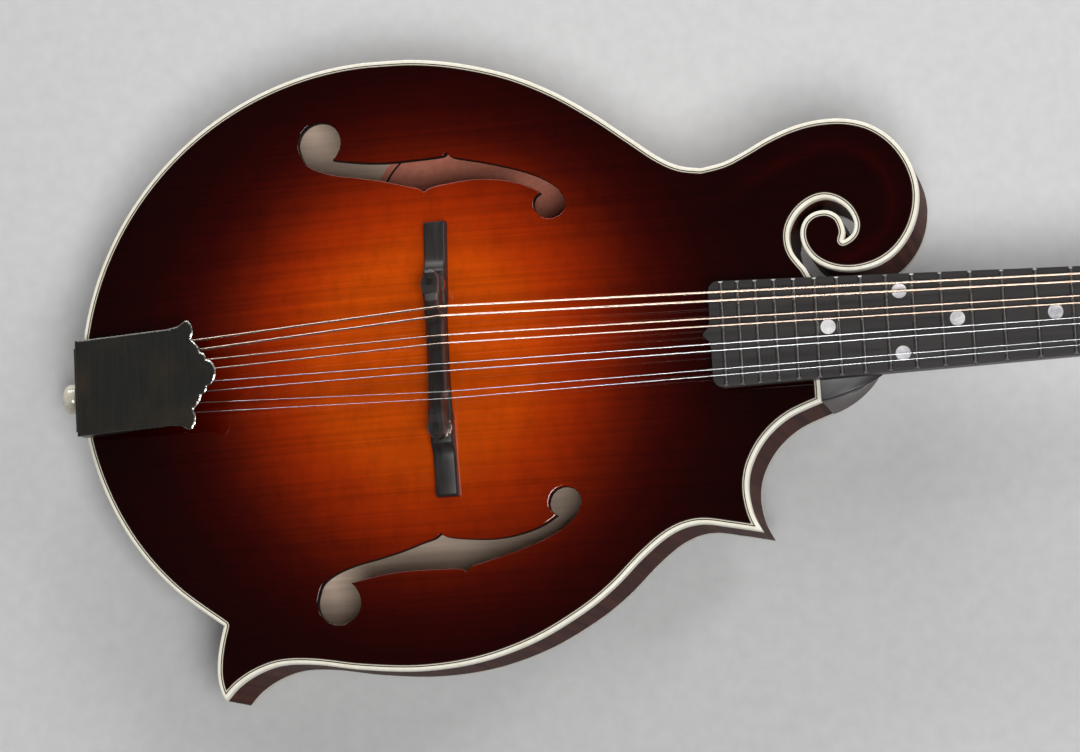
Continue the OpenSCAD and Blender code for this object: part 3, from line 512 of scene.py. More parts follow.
def spruce_top():
    mat, tree, shader = material("sunburst_spruce", 0.6, coat=1.0, coat_roughness=0.02, specular=0.0)
    # the sunburst value, which also holds the painted highlight band by the scroll's crest
    fade = attribute(tree, "burst")
    soft = noise(tree, coords(tree, (6, 9, 6)), 3.0, 3.0)
    wander = add(tree, "Math", operation="MULTIPLY_ADD")
    tree.links.new(soft, wander.inputs[0])
    wander.inputs[1].default_value = 0.05
    tree.links.new(fade, wander.inputs[2])
    shifted = add(tree, "Math", operation="SUBTRACT")
    tree.links.new(wander.outputs[0], shifted.inputs[0])
    shifted.inputs[1].default_value = 0.025
    colour = ramp(tree, shifted.outputs[0], BURST_STOPS)
    grain = noise(tree, coords(tree, (3, 620, 40)), 1.0, 3.0, 0.6)
    lines = ramp(tree, grain, [(0.3, (0.76,)), (0.55, (1.0,)), (0.8, (1.10,))])
    silk = noise(tree, coords(tree, (150, 90, 100)), 1.0, 5.0, 0.7)
    flecks = ramp(tree, silk, [(0.3, (0.84,)), (0.5, (1.0,)), (0.75, (1.12,))])
    colour = mix(tree, colour, lines, 1.0, "MULTIPLY")
    colour = mix(tree, colour, flecks, 1.0, "MULTIPLY")
    tree.links.new(colour, shader.inputs["Base Color"])
    bump(tree, shader, grain, 0.04, 0.0001)
    return mat


BURST_STOPS = [(0.0, (0.56, 0.072, 0.0006)), (0.30, (0.50, 0.056, 0.0005)),
               (0.415, (0.36, 0.028, 0.0003)), (0.50, (0.25, 0.016, 0.0002)),
               (0.59, (0.125, 0.0072, 0.0002)), (0.68, (0.055, 0.0024, 0.0002)),
               (0.76, (0.028, 0.0008, 0.0001)), (0.86, (0.014, 0.0003, 0.0001)),
               (1.0, (0.009, 0.0001, 0.0001))]


def maple(name, dark, light, scale=(1, 1, 1), band="arc", coat=1.0):
    """Dark lacquered maple with its flame across the grain."""
    mat, tree, shader = material(name, 0.5, coat=coat, coat_roughness=0.06, specular=0.0)
    flame = noise(tree, coords(tree, scale), 1.0, 2.0, 0.4, 0.6)
    if band:
        where = attribute(tree, band)
        joined = add(tree, "CombineXYZ")
        tree.links.new(where, joined.inputs[0])
        flame = noise(tree, joined.outputs[0], 190.0, 2.0, 0.5)
    colour = ramp(tree, flame, [(0.3, dark), (0.5, tuple((a + b) / 2 for a, b in zip(dark, light))),
                                (0.72, light)])
    pores = noise(tree, coords(tree, (40, 500, 500)), 1.0, 3.0, 0.6)
    shade = ramp(tree, pores, [(0.3, (0.8,)), (0.6, (1.05,))])
    tree.links.new(mix(tree, colour, shade, 1.0, "MULTIPLY"), shader.inputs["Base Color"])
    bump(tree, shader, pores, 0.03, 0.0001)
    return mat


def plastic(name, colour, darker, roughness, grain=(60, 8, 60), coat=0.0):
    mat, tree, shader = material(name, roughness, coat=coat)
    lines = noise(tree, coords(tree, grain), 8.0, 4.0, 0.6)
    tree.links.new(ramp(tree, lines, [(0.3, darker), (0.65, colour)]), shader.inputs["Base Color"])
    spread(tree, shader, lines, roughness * 0.8, roughness * 1.3)
    return mat


def bare_wood(name, dark, light, scale=(12, 420, 60)):
    mat, tree, shader = material(name, 0.75, specular=0.2)
    grain = noise(tree, coords(tree, scale), 1.0, 4.0, 0.6)
    tree.links.new(ramp(tree, grain, [(0.25, dark), (0.7, light)]), shader.inputs["Base Color"])
    bump(tree, shader, grain, 0.1, 0.0002)
    return mat


def ebony(name, dark, light, roughness=0.38, scale=(14, 420, 420)):
    mat, tree, shader = material(name, roughness)
    grain = noise(tree, coords(tree, scale), 1.0, 4.0, 0.65)
    tree.links.new(ramp(tree, grain, [(0.3, dark), (0.75, light)]), shader.inputs["Base Color"])
    spread(tree, shader, grain, roughness - 0.08, roughness + 0.12)
    bump(tree, shader, grain, 0.12, 0.0001)
    return mat


def metal(name, colour, low, high, scale=900.0, coat=0.0):
    mat, tree, shader = material(name, low, metallic=1.0, coat=coat)
    fine = noise(tree, coords(tree), scale, 3.0, 0.6)
    tint = ramp(tree, fine, [(0.3, tuple(c * 0.9 for c in colour)), (0.7, colour)])
    tree.links.new(tint, shader.inputs["Base Color"])
    spread(tree, shader, fine, low, high)
    return mat


def pearl(name):
    mat, tree, shader = material(name, 0.25, coat=1.0)
    cells = add(tree, "TexVoronoi")
    cells.inputs["Scale"].default_value = 260.0
    warped = noise(tree, coords(tree), 120.0, 3.0, 0.6, 1.5)
    tint = ramp(tree, warped, [(0.3, (0.42, 0.43, 0.47)), (0.5, (0.72, 0.70, 0.72)),
                               (0.7, (0.93, 0.92, 0.9))])
    tree.links.new(coords(tree), cells.inputs["Vector"])
    patch = ramp(tree, cells.outputs["Color"], [(0.0, (0.8, 0.82, 0.86)), (1.0, (1, 0.97, 0.95))])
    tree.links.new(mix(tree, tint, patch, 0.8, "MULTIPLY"), shader.inputs["Base Color"])
    return mat


M_TOP = spruce_top()
M_RIBS = maple("rib_maple", (0.030, 0.006, 0.004), (0.11, 0.030, 0.018), coat=0.14)
M_BACK = maple("back_maple", (0.03, 0.006, 0.003), (0.12, 0.028, 0.012), (60, 4, 4), None, 0.6)
M_NECK = maple("neck_maple", (0.018, 0.004, 0.003), (0.05, 0.013, 0.008), (70, 8, 8), None, 0.5)
M_BINDING = plastic("binding_cream", (0.92, 0.89, 0.78), (0.84, 0.79, 0.63), 0.22)
M_EBONY = ebony("fingerboard_ebony", (0.006, 0.005, 0.005), (0.022, 0.017, 0.016))
M_BRIDGE = ebony("bridge_ebony", (0.008, 0.006, 0.006), (0.03, 0.023, 0.021), 0.4, (420, 20, 420))
# painted highlight: a lighter reddish brown for the saddle's crown ridge, where light catches it
M_CROWN_HIGHLIGHT = ebony("saddle_crown_painted_highlight", (0.05, 0.018, 0.012), (0.11, 0.04, 0.026), 0.35, (420, 20, 420))
M_NICKEL = metal("polished_nickel", (0.78, 0.74, 0.68), 0.12, 0.26)
M_FRET = metal("fret_wire", (0.66, 0.63, 0.60), 0.16, 0.28)
M_STEEL = metal("string_steel", (0.74, 0.75, 0.76), 0.22, 0.3, 40.0)
M_STUD = metal("stud_dark_steel", (0.10, 0.09, 0.085), 0.25, 0.4)
M_BRASS = metal("rod_nut_brass", (0.68, 0.5, 0.2), 0.25, 0.4)
M_PEARL = pearl("pearl_inlay")
M_IVORY = plastic("button_ivory", (0.84, 0.80, 0.68), (0.64, 0.58, 0.44), 0.2, (60, 60, 90), 0.6)
M_BONE = plastic("nut_bone", (0.84, 0.8, 0.68), (0.74, 0.69, 0.55), 0.35, (30, 200, 90))
M_PLATE_BLACK = plastic("cover_black", (0.012, 0.012, 0.013), (0.006, 0.006, 0.007), 0.16,
                        (60, 60, 60), 0.5)
M_INSIDE = bare_wood("inside_wood", (0.60, 0.45, 0.34), (0.80, 0.64, 0.52))
M_BRACE = bare_wood("brace_spruce", (0.5, 0.36, 0.2), (0.7, 0.55, 0.36))


def cover_metal():
    """Dark nickel with a brushed look and a trace of warm wear."""
    mat, tree, shader = material("cover_dark_metal", 0.34, metallic=0.35)
    fine = noise(tree, coords(tree, (900, 30, 900)), 1.0, 4.0, 0.6)
    wear = noise(tree, coords(tree), 38.0, 4.0, 0.6)
    tint = ramp(tree, fine, [(0.3, (0.026, 0.026, 0.023)), (0.7, (0.036, 0.035, 0.031))])
    warm = ramp(tree, wear, [(0.45, (0, 0, 0)), (0.7, (1, 1, 1))])
    tree.links.new(mix(tree, tint, (0.052, 0.042, 0.031), warm), shader.inputs["Base Color"])
    spread(tree, shader, fine, 0.26, 0.4)
    return mat


def purfling_lines():
    """A black line, a thin cream line and black again, by the distance from the edge."""
    mat, tree, shader = material("purfling_lines", 0.3, coat=1.0)
    part = add(tree, "MapRange")
    part.inputs["From Min"].default_value = BINDING
    part.inputs["From Max"].default_value = PURFLING
    tree.links.new(attribute(tree, "edge"), part.inputs["Value"])
    colour = ramp(tree, part.outputs[0], [(0.0, (0.008, 0.007, 0.006)), (0.34, (0.72, 0.64, 0.5)),
                                          (0.68, (0.01, 0.006, 0.005))], "CONSTANT")
    grain = noise(tree, coords(tree), 700.0, 3.0)
    shade = ramp(tree, grain, [(0.3, (0.85,)), (0.7, (1.0,))])
    tree.links.new(mix(tree, colour, shade, 1.0, "MULTIPLY"), shader.inputs["Base Color"])
    return mat


def label_paper():
    """Plain salmon paper with a black border line near its edge and mottled fibres."""
    mat, tree, shader = material("label_paper", 0.85, specular=0.2)
    fibre = noise(tree, coords(tree), 500.0, 4.0, 0.7)
    paper = ramp(tree, fibre, [(0.3, (0.76, 0.25, 0.16)), (0.7, (0.88, 0.34, 0.24))])
    line = ramp(tree, attribute(tree, "rim"),
                [(0.0, (0, 0, 0)), (0.918, (1, 1, 1)), (0.940, (0, 0, 0))], "CONSTANT")
    tree.links.new(mix(tree, paper, (0.02, 0.012, 0.012), line), shader.inputs["Base Color"])
    return mat


def wound_wire():
    """Bronze winding: the turns show as fine bumps along the string, with painted shade darkening the
    colour in the grooves between turns.
    """
    mat, tree, shader = material("bronze_winding", 0.26, metallic=1.0)
    wave = add(tree, "Math", operation="SINE")
    turns = add(tree, "Math", operation="MULTIPLY")
    tree.links.new(attribute(tree, "arc"), turns.inputs[0])
    turns.inputs[1].default_value = 2 * math.pi / 0.32
    tree.links.new(turns.outputs[0], wave.inputs[0])
    # painted shade: the colour follows the bump wave and is darker in the grooves between turns
    tint = ramp(tree, wave.outputs[0], [(0.0, (0.74, 0.54, 0.42)), (1.0, (0.96, 0.80, 0.68))])
    tree.links.new(tint, shader.inputs["Base Color"])
    bump(tree, shader, wave.outputs[0], 0.2, 0.00005)
    return mat


M_COVER = cover_metal()
M_COVER_EDGE = metal("cover_polished_edge", (0.5, 0.5, 0.46), 0.2, 0.4)
M_PURFLING = purfling_lines()
M_LABEL = label_paper()
M_WOUND = wound_wire()


def set_attribute(obj, name, values):
    layer = obj.data.attributes.new(name, "FLOAT", "POINT")
    layer.data.foreach_set("value", np.asarray(values, np.float32))


def paint_faces(obj, look, which):
    """Gives another material to some faces, by number."""
    obj.data.materials.append(look)
    number = len(obj.data.materials) - 1
    for k in which:
        obj.data.polygons[k].material_index = number


# ---- top plate, its purfling and binding
SCROLL_MIDDLE = np.array([155.0, 46.0])
BURST_MIDDLE = np.array([-13, 1])
BURST_REACH = 140


def burst_and_painted_sheen_of(x, y):
    """0 in the middle of the sunburst and 1 at its dark rim, less in a band by the scroll's crest: there
    a painted highlight, a lighter red, stands in for light on the crest's outer slope.
    """
    r = np.hypot(x - BURST_MIDDLE[0], y - BURST_MIDDLE[1])
    out = np.clip(r / BURST_REACH, 0, 1)
    near = np.flatnonzero((x > 84) & (y > 18))
    q = np.stack([x[near], y[near]], 1)
    gap = np.linalg.norm(q[:, None, :] - CREST[None], axis=2)
    k = gap.argmin(1)
    outer = np.linalg.norm(q - SCROLL_MIDDLE, axis=1) > np.linalg.norm(CREST[k] - SCROLL_MIDDLE, axis=1)
    band = np.exp(-((gap.min(1) - 3.5) / 3.2) ** 2) * outer * ease(k / len(CREST) / 0.35)
    # painted highlight: lowering the burst value in this band paints a lighter red on the crest's outer
    # slope, where light falls
    out[near] -= 0.17 * band
    return out


holes = [F_BASS, F_TREBLE]
p, t, edge, edge_t = plate_mesh(holes, 2.3)
x, y = p[:, 0], p[:, 1]
hole_gap = distance(p, [np.vstack([h, h[:1]]) for h in holes])
surface = top_z(x, y)
upper = surface - fillet(edge, 0.7) - np.where(edge > 4, fillet(hole_gap, 0.4), 0)
lower = top_under_z(x, y)
flat_low = np.full(len(p), -PLATE_EDGE)
bands = [("top_binding_ring", edge_t < BINDING, flat_low, M_BINDING, "bindings", "binding"),
         ("top_purfling_ring", (edge_t >= BINDING) & (edge_t < PURFLING), flat_low, M_PURFLING,
          "top_purfling", "purfling"),
         ("carved_top", edge_t >= PURFLING, lower, M_TOP, "top_plate", "top_wood")]
for name, mask, low, look, node, slot in bands:
    verts, faces, used = closed_slab(p, t[mask], upper, low)
    obj = mesh_piece(name, BODY(verts), faces, look, 50)
    set_attribute(obj, "edge", np.tile(edge[used], 2))
    # this attribute is the sunburst plus the painted highlight band by the scroll's crest
    set_attribute(obj, "burst", np.tile(burst_and_painted_sheen_of(x[used], y[used]), 2))
    if name == "carved_top":
        count = int(mask.sum())
        paint_faces(obj, M_INSIDE, range(count, 2 * count))
        paint_faces(obj, M_EBONY, range(2 * count, len(faces)))
    settle(obj, "body", [node])

# ---- ribs and head block, as one wall right round
arc_of = np.concatenate([[0], np.cumsum(np.linalg.norm(np.diff(OUTLINE, axis=0), axis=1))])
wall_high = np.full(len(p), -PLATE_EDGE - GLUE_GAP)
wall_low = np.full(len(p), PLATE_EDGE - RIM_DEPTH + GLUE_GAP)
verts, faces, used = closed_slab(p, t[edge_t < BINDING], wall_high, wall_low)
ribs = mesh_piece("bent_ribs", BODY(verts), faces, M_RIBS, 50)
near = np.linalg.norm(p[used][:, None] - OUTLINE[None, ::2], axis=2).argmin(1) * 2
set_attribute(ribs, "arc", np.tile(arc_of[near] / 1000, 2))
settle(ribs, "body", ["rib_bass", "rib_tail", "rib_waist", "rib_heel", "head_block", "scroll_block"])

# ---- back plate and its binding
q, s, back_edge, back_edge_t = plate_mesh([], 3.0)
x, y = q[:, 0], q[:, 1]
low = back_z(x, y) + fillet(back_edge, 0.7)
for name, mask, high, look, node, slot in [
    ("back_binding_ring", back_edge_t < BINDING, np.full(len(q), PLATE_EDGE - RIM_DEPTH),
     M_BINDING, "bindings", "binding"),
    ("carved_back", back_edge_t >= BINDING, back_inside_z(x, y), M_BACK, "back_plate", "body_wood"),
]:
    verts, faces, used = closed_slab(q, s[mask], high, low)
    obj = mesh_piece(name, BODY(verts), faces, look, 50)
    if name == "carved_back":
        paint_faces(obj, M_INSIDE, range(int(mask.sum())))
    settle(obj, "body", [node])

# ---- CAD nodes that stay: their materials, softened edges and smooth faces
def smoothing_group():
    group = bpy.data.node_groups.new("smooth_by_angle", "GeometryNodeTree")
    group.interface.new_socket("Geometry", in_out="INPUT", socket_type="NodeSocketGeometry")
    group.interface.new_socket("Geometry", in_out="OUTPUT", socket_type="NodeSocketGeometry")
    start = group.nodes.new("NodeGroupInput")
    end = group.nodes.new("NodeGroupOutput")
    faces = group.nodes.new("GeometryNodeSetShadeSmooth")
    faces.domain = "FACE"
    edges = group.nodes.new("GeometryNodeSetShadeSmooth")
    edges.domain = "EDGE"
    angle = group.nodes.new("GeometryNodeInputMeshEdgeAngle")
    small = group.nodes.new("FunctionNodeCompare")
    small.operation = "LESS_THAN"
    small.inputs[1].default_value = math.radians(32)
    group.links.new(start.outputs[0], faces.inputs[0])
    group.links.new(faces.outputs[0], edges.inputs[0])
    group.links.new(angle.outputs[0], small.inputs[0])
    group.links.new(small.outputs[0], edges.inputs["Shade Smooth"])
    group.links.new(edges.outputs[0], end.inputs[0])
    return group


SMOOTHING = smoothing_group()


def soften(obj, width, segments=2, angle=35):
    """Rounds the sharp edges by a width in millimetres."""
    if width:
        edge = obj.modifiers.new("soft_edges", "BEVEL")
        edge.width = width / 1000
        edge.segments = segments
        edge.limit_method = "ANGLE"
        edge.angle_limit = math.radians(angle)
        edge.harden_normals = False
    smooth = obj.modifiers.new("smooth_faces", "NODES")
    smooth.node_group = SMOOTHING


def dress(name, look, width=0.0, segments=2):
    obj = frame["nodes"][name]
    obj.data.materials.clear()
    obj.data.materials.append(look)
    soften(obj, width, segments)


DRESS = {"extension_riser": (M_BRIDGE, 0.2), "inner_blocks": (M_BRACE, 0),
         "inner_bracing": (M_BRACE, 0), "endpin": (M_IVORY, 0.3),
         "tailpiece_base": (M_COVER, 0.2), "screws": (M_NICKEL, 0),
         "bridge_studs": (M_STUD, 0.25),
         "thumbwheel_bass": (M_NICKEL, 0.12), "thumbwheel_treble": (M_NICKEL, 0.12),
         "truss_rod": (M_STEEL, 0), "truss_rod_nut": (M_BRASS, 0.3), "fingerboard": (M_EBONY, 0.35),
         "truss_rod_cover": (M_PLATE_BLACK, 0.3), "headstock_overlay": (M_PLATE_BLACK, 0.25),
         "pearl_inlays": (M_PEARL, 0), "nut": (M_BONE, 0.2), "tuner_plates": (M_NICKEL, 0.2),
         "tuner_bushings": (M_NICKEL, 0.2)}
for n in range(1, 9):
    DRESS[f"tuner_button_{n}"] = (M_IVORY, 0.3)
    DRESS[f"tuner_worm_{n}"] = (M_NICKEL, 0.1)
    DRESS[f"tuner_post_{n}"] = (M_NICKEL, 0.1)
for name, (look, width) in DRESS.items():
    dress(name, look, width)


# ---- shared builders
def loft(rings, close=True):
    """Verts and faces of a closed skin over rings of equal count."""
    n = len(rings[0])
    verts = np.vstack(rings)
    faces = []
    for k in range(len(rings) - 1):
        for i in range(n):
            j = (i + 1) % n
            faces.append((k * n + i, k * n + j, (k + 1) * n + j, (k + 1) * n + i))
    if close:
        faces.append(tuple(range(n))[::-1])
        faces.append(tuple(range((len(rings) - 1) * n, len(rings) * n)))
    return verts, faces


def extrude(outline, low, high):
    """A flat outline taken from low to high, as verts and faces."""
    p = np.asarray(outline, float)
    rings = [np.column_stack([p, np.full(len(p), z)]) for z in (low, high)]
    return loft(rings)


def join(parts):
    verts, faces, at = [], [], 0
    for v, f in parts:
        verts.append(v)
        faces += [tuple(i + at for i in q) for q in f]
        at += len(v)
    return np.vstack(verts), faces


# ---- neck: shaft, heel and headstock
BOARD_THICK = 4.8
NUT_HALF = 15.0


def board_half(x):
    return NUT_HALF + (SCALE - x) * 0.0266


def neck_rings():
    rings = []
    angles = np.radians(np.arange(0, 181, 6))
    for x in [*np.linspace(NECK_END + 2.2, SCALE - 20, 36), *np.linspace(SCALE - 18, SCALE + 8, 12)]:
        past = max(0.0, x - SCALE)
        swell = 1.6 * ease((x - SCALE + 20) / 20)
        deep = 12 + 3.5 * ease((SCALE - x) / 150) + swell
        half = board_half(x) if x < SCALE else NUT_HALF + 0.05 * past
        top = -BOARD_THICK - 0.04 - 0.36 * past
        rings.append(np.stack([np.full(len(angles), x), -half * np.cos(angles),
                               top - (deep - 0.36 * past) * np.sin(angles) ** 0.85], 1))
    return rings


v, f = loft(neck_rings())
shaft = mesh_piece("neck_shaft", NECK(v), f, M_NECK, 40)
settle(shaft, "body", ["neck"])


def heel_ring(z):
    reach = 24 + 16 * max(0.0, (z + 43) / 43) ** 3
    foot = NECK_END + 0.22
    a = np.radians(np.arange(0, 91, 4.5))
    left = np.stack([foot + reach * np.sin(a) ** 1.5, -28.3 * np.cos(a) ** 0.9], 1)
    b = a[::-1][1:]
    right = np.stack([foot + reach * np.sin(b) ** 0.6, 19.4 * np.cos(b)], 1)
    p = np.vstack([left, right])
    return np.column_stack([p, np.full(len(p), z)])


def shrunk(ring, d):
    middle = np.array([NECK_END + 10, -4, 0])
    out = ring - (ring - middle) * [d / 20, d / 24, 0]
    out[:, 0] = np.maximum(out[:, 0], ring[:, 0].min())
    return out


rings = []
for d, z in [(1.0, -43), (0.45, -42.8), (0.15, -42.3)]:
    rings.append(shrunk(heel_ring(z), d))
rings += [heel_ring(z) for z in np.linspace(-41.6, -5.2, 22)]
v, f = loft(rings)
settle(mesh_piece("neck_heel", BODY(v), f, M_NECK, 50), "body", ["neck"])
rings = [heel_ring(z) for z in (-5.16, -0.8)]
for d, z in [(0.12, -0.35), (0.5, 0.0)]:
    rings.append(shrunk(heel_ring(z), d))
v, f = loft(rings)
settle(mesh_piece("heel_top_cap", BODY(v), f, M_EBONY, 50), "body", ["neck"])

HEAD_BASS = [[0, 15.4], [7, 17], [14, 21], [22, 25.2], [34, 26.8], [66, 27], [96, 27.4], [110, 29.6],
             [121, 34.6], [131, 38.2], [141, 36.6], [146.5, 30], [145.5, 22.6], [140, 18.4], [138.6, 13],
             [143, 7.5], [150.5, 4.2], [157, 1]]
HEAD_TREBLE = [[157, 1], [159.6, -8], [163.8, -18], [164.4, -28], [159, -36.4], [149, -40.6],
               [137.5, -40], [126, -35.6], [114, -30.4], [98, -27.6], [66, -27], [34, -26.8],
               [22, -25.2], [14, -21], [7, -17], [0, -15.4]]
HEAD_OUTLINE = np.vstack([catmull(HEAD_BASS, 5)[:-1], catmull(HEAD_TREBLE, 5)])
v, f = extrude(HEAD_OUTLINE[::-1], -15.6, -1.62)
head = mesh_piece("headstock_slab", HEAD(v), f, M_NECK, 50)
soften(head, 1.0, 3)
settle(head, "body", ["neck"])


# ---- frets, with a round crown and filed ends
def fret(n):
    x = SCALE * 2 ** (-n / 12)
    half = board_half(x) - 0.2
    a = np.radians(np.arange(0, 181, 15))
    rings = []
    for side in (-1, 1):
        high = 0.95 * np.sin(a)
        reach = side * (half - 0.85 * high)
        rings.append(np.stack([x + 0.9 * np.cos(a), reach, high + 0.01], 1))
    return loft(rings)


v, f = join([fret(n) for n in range(1, 21)])
settle(mesh_piece("fret_wires", NECK(v), f, M_FRET, 50), "body", ["frets"])


# ---- strings
STRING_R = [0.5, 0.5, 0.33, 0.33, 0.2, 0.2, 0.14, 0.14]
BRIDGE_Y = [18.1, 14.3, 6.4, 3.1, -5.2, -8.2, -16.6, -19.4]
NUT_Y = [12.6, 9.8, 4.9, 2.3, -2.6, -4.7, -10.2, -12.2]
COURSE_Y = [15, 10.8, 6.6, 2.4, -2.4, -6.6, -10.8, -15]
STRING_POST = [1, 2, 3, 4, 8, 7, 6, 5]
SADDLE_TOP = 28.0
POST_PITCH, POST_OFFSET, COIL_R = 23.0, 17.0, 4.1


def post_xy(k):
    return FIRST_POST + POST_PITCH * ((k - 1) % 4), POST_OFFSET if k <= 4 else -POST_OFFSET


def tube(points, radius, sides=14):
    """A round tube through points in metres, with its length along it for each vertex."""
    p = np.asarray(points, float)
    rings, arcs, arc = [], [], 0.0
    for k in range(len(p)):
        before = unit(p[k] - p[k - 1]) if k else unit(p[1] - p[0])
        after = unit(p[k + 1] - p[k]) if k < len(p) - 1 else before
        t = unit(before + after)
        side = unit(np.cross([0, 0, 1], t))
        up = np.cross(t, side)
        a = np.linspace(0, 2 * math.pi, sides, endpoint=False)[:, None]
        rings.append(p[k] + radius * (np.cos(a) * side + np.sin(a) * up))
        arc += np.linalg.norm(p[k] - p[k - 1]) if k else 0
        arcs.append(np.full(sides, arc * 1000))
    v, f = loft(rings)
    return v, f, np.concatenate(arcs)


def string_path(i):
    r = STRING_R[i]
    x, y = post_xy(STRING_POST[i])
    reach = y - math.copysign(COIL_R + r + 0.15, y)
    hook = BODY([[-117, COURSE_Y[i] * 0.97, 13.6]])[0]
    saddle = BODY([[-1, BRIDGE_Y[i], SADDLE_TOP]])[0]
    over = NECK([[SCALE + 0.6, NUT_Y[i], 1.35 + r]])[0]
    behind = NECK([[SCALE + NUT_THICK + 0.2, NUT_Y[i], 0.75]])[0]
    post = HEAD([[x - 0.5, reach, 5.3]])[0]
    return hook, saddle, over, behind, post


def lay_strings(name, which, look, node):
    for part, a, b in (("tail", 0, 2), ("neck", 1, 5)):
        meshes, arcs = [], []
        for i in which:
            v, f, arc = tube(string_path(i)[a:b], STRING_R[i] / 1000)
            meshes.append((v, f))
            arcs.append(arc)
        v, f = join(meshes)
        obj = mesh_piece(f"{name}_{part}", v, f, look, 60)
        set_attribute(obj, "arc", np.concatenate(arcs))
        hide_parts(node)
        hook, saddle, over = string_path(which[0])[:3]
        if part == "tail":
            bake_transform(obj)
        else:
            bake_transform(obj)


lay_strings("wound_string", [0, 1, 2, 3], M_WOUND, "wound_strings")
lay_strings("plain_string", [4, 5, 6, 7], M_STEEL, "plain_strings")

for i in range(8):
    k = STRING_POST[i]
    x, y = post_xy(k)
    r = max(STRING_R[i], 0.2)
    turns = min(4.2 / (2 * r) - 1, 6)
    a = np.linspace(0, 2 * math.pi * turns, round(26 * turns))
    coil = np.stack([x + (COIL_R + r * 0.9) * np.cos(a), y + (COIL_R + r * 0.9) * np.sin(a),
                     3.3 + r + a / (2 * math.pi) * 2 * r], 1)
    v, f, arc = tube(HEAD(coil), r * 0.98 / 1000, 8)
    coil = mesh_piece(f"winding_{k}", v, f, M_WOUND if i < 4 else M_STEEL, 60)
    set_attribute(coil, "arc", arc)
    settle(coil, f"post_{k}", [])


# ---- tailpiece cover: a sloping plate with a scalloped front, chamfered and engraved
TAIL_X = -161.5
SLOPE = math.radians(13)
COVER_X = 0.6
COVER_HALF = [[45, 20], [50, 20.6], [53.5, 22.6], [55, 22.4], [56.6, 20.2], [57, 17.4], [55.9, 14.4],
              [57.6, 13], [59.2, 11], [59.9, 8.8], [61.6, 8.2], [62.5, 6.8], [62.5, 5.6], [64.6, 4.8],
              [66, 3.2], [66.8, 1.2]]
COVER_HALF = [[1.03, 20], *COVER_HALF]


def roof_z(x):
    return 8.1 + x * math.tan(SLOPE)


half = np.array(COVER_HALF)
loop = np.vstack([half, half[::-1] * [1, -1]])
loop = np.vstack([resample([a, b], 0.6)[:-1] for a, b in zip(loop, np.roll(loop, -1, 0))])
ring = [np.vstack([loop, loop[:1]])]
xs, ys = np.meshgrid(np.arange(1.4, 67, 0.55), np.arange(-22.5, 22.6, 0.55))
grid = np.stack([xs.ravel(), ys.ravel()], 1)
grid[:, 0] += np.round(ys.ravel() / 0.55) % 2 * 0.27
grid = grid[inside(grid, loop)]
grid = grid[distance(grid, ring) > 0.42]
q, s = triangulate([loop], grid)
s = s[inside(q[s].mean(1), loop)]
gap = distance(q, ring)
wide = q * [math.cos(SLOPE), 1] + [-0.4, 0]
level = roof_z(wide[:, 0])
cut = 0.16 * (np.exp(-((gap - 1.5) / 0.22) ** 2) + np.exp(-((gap - 2.5) / 0.22) ** 2))
level_top = level - 0.55 * np.clip(1 - gap / 0.7, 0, 1) - cut
v, f, used = closed_slab(wide + [TAIL_X, 0], s, level_top, level - 1.0)
plate = mesh_piece("tailpiece_cover_plate", BODY(v), f, M_COVER, 40)
set_attribute(plate, "edge", np.tile(gap[used], 2))
rim_faces = np.flatnonzero((gap[s].mean(1) < 0.42) & (q[s].mean(1)[:, 0] > 2))
paint_faces(plate, M_COVER_EDGE, rim_faces.tolist())
settle(plate, "cover", ["tailpiece_cover"])


def slice_y(profile, low, high):
    """A profile in x and z, taken across from low to high."""
    p = np.asarray(profile, float)
    rings = [np.column_stack([p[:, 0] + TAIL_X, np.full(len(p), y), p[:, 1]]) for y in (low, high)]
    return loft(rings)


sides = []
for y in (-19.8, 18.8):
    top = [[x, roof_z(x) - 0.8] for x in np.linspace(39, COVER_X + 0.6, 24)]
    low = [[x, ease((x - 2) / 36) * (roof_z(39) - 5.5) + 0.1]
           for x in np.linspace(COVER_X + 0.6, 39, 24)]
    sides.append(slice_y(top + low, y, y + 1))
sides.append(slice_y([[COVER_X, 4.4], [COVER_X + 1, 4.4], [COVER_X + 1, roof_z(COVER_X) - 0.7],
                      [COVER_X, roof_z(COVER_X) - 0.7]], -19.7, 19.7))
v, f = join(sides)
walls = mesh_piece("tailpiece_cover_walls", BODY(v), f, M_COVER, 40)
soften(walls, 0.2)
settle(walls, "cover", ["tailpiece_cover"])


# ---- bridge: the base with its scooped ends, and the saddle with its faceted flank
BASE_LOW, BASE_HIGH = -10.0, -1.0
base_line = resample(catmull([[0, 15], [21, 15.2], [25, 16.2], [34.4, 16.2], [37, 14.3], [40, 12.7],
                              [46, 11.9], [52, 11.4], [56.5, 10.9]]), 0.5)
rings = []
for y in np.linspace(-56.5, 56.5, 150):
    top = min(np.interp(abs(y), base_line[:, 0], base_line[:, 1]), 16.15) - fillet(56.5 - abs(y), 0.8)
    foot = float(top_z(np.array([SADDLE_X]), np.array([y]))[0]) + 0.05 + 2.4 * ease((24 - abs(y)) / 3)
    corner = [(0, -0.9), (0.12, -0.45), (0.45, -0.12), (0.9, 0)]
    edge = [(BASE_LOW + a, top + b) for a, b in corner]
    edge += [(BASE_HIGH - a, top + b) for a, b in corner[::-1]]
    edge += [(BASE_HIGH, foot), (BASE_LOW, foot)]
    rings.append([(a, y, b) for a, b in edge])
v, f = loft(np.array(rings))
settle(mesh_piece("bridge_foot", BODY(v), f, M_BRIDGE, 40), "body", ["bridge_base"])

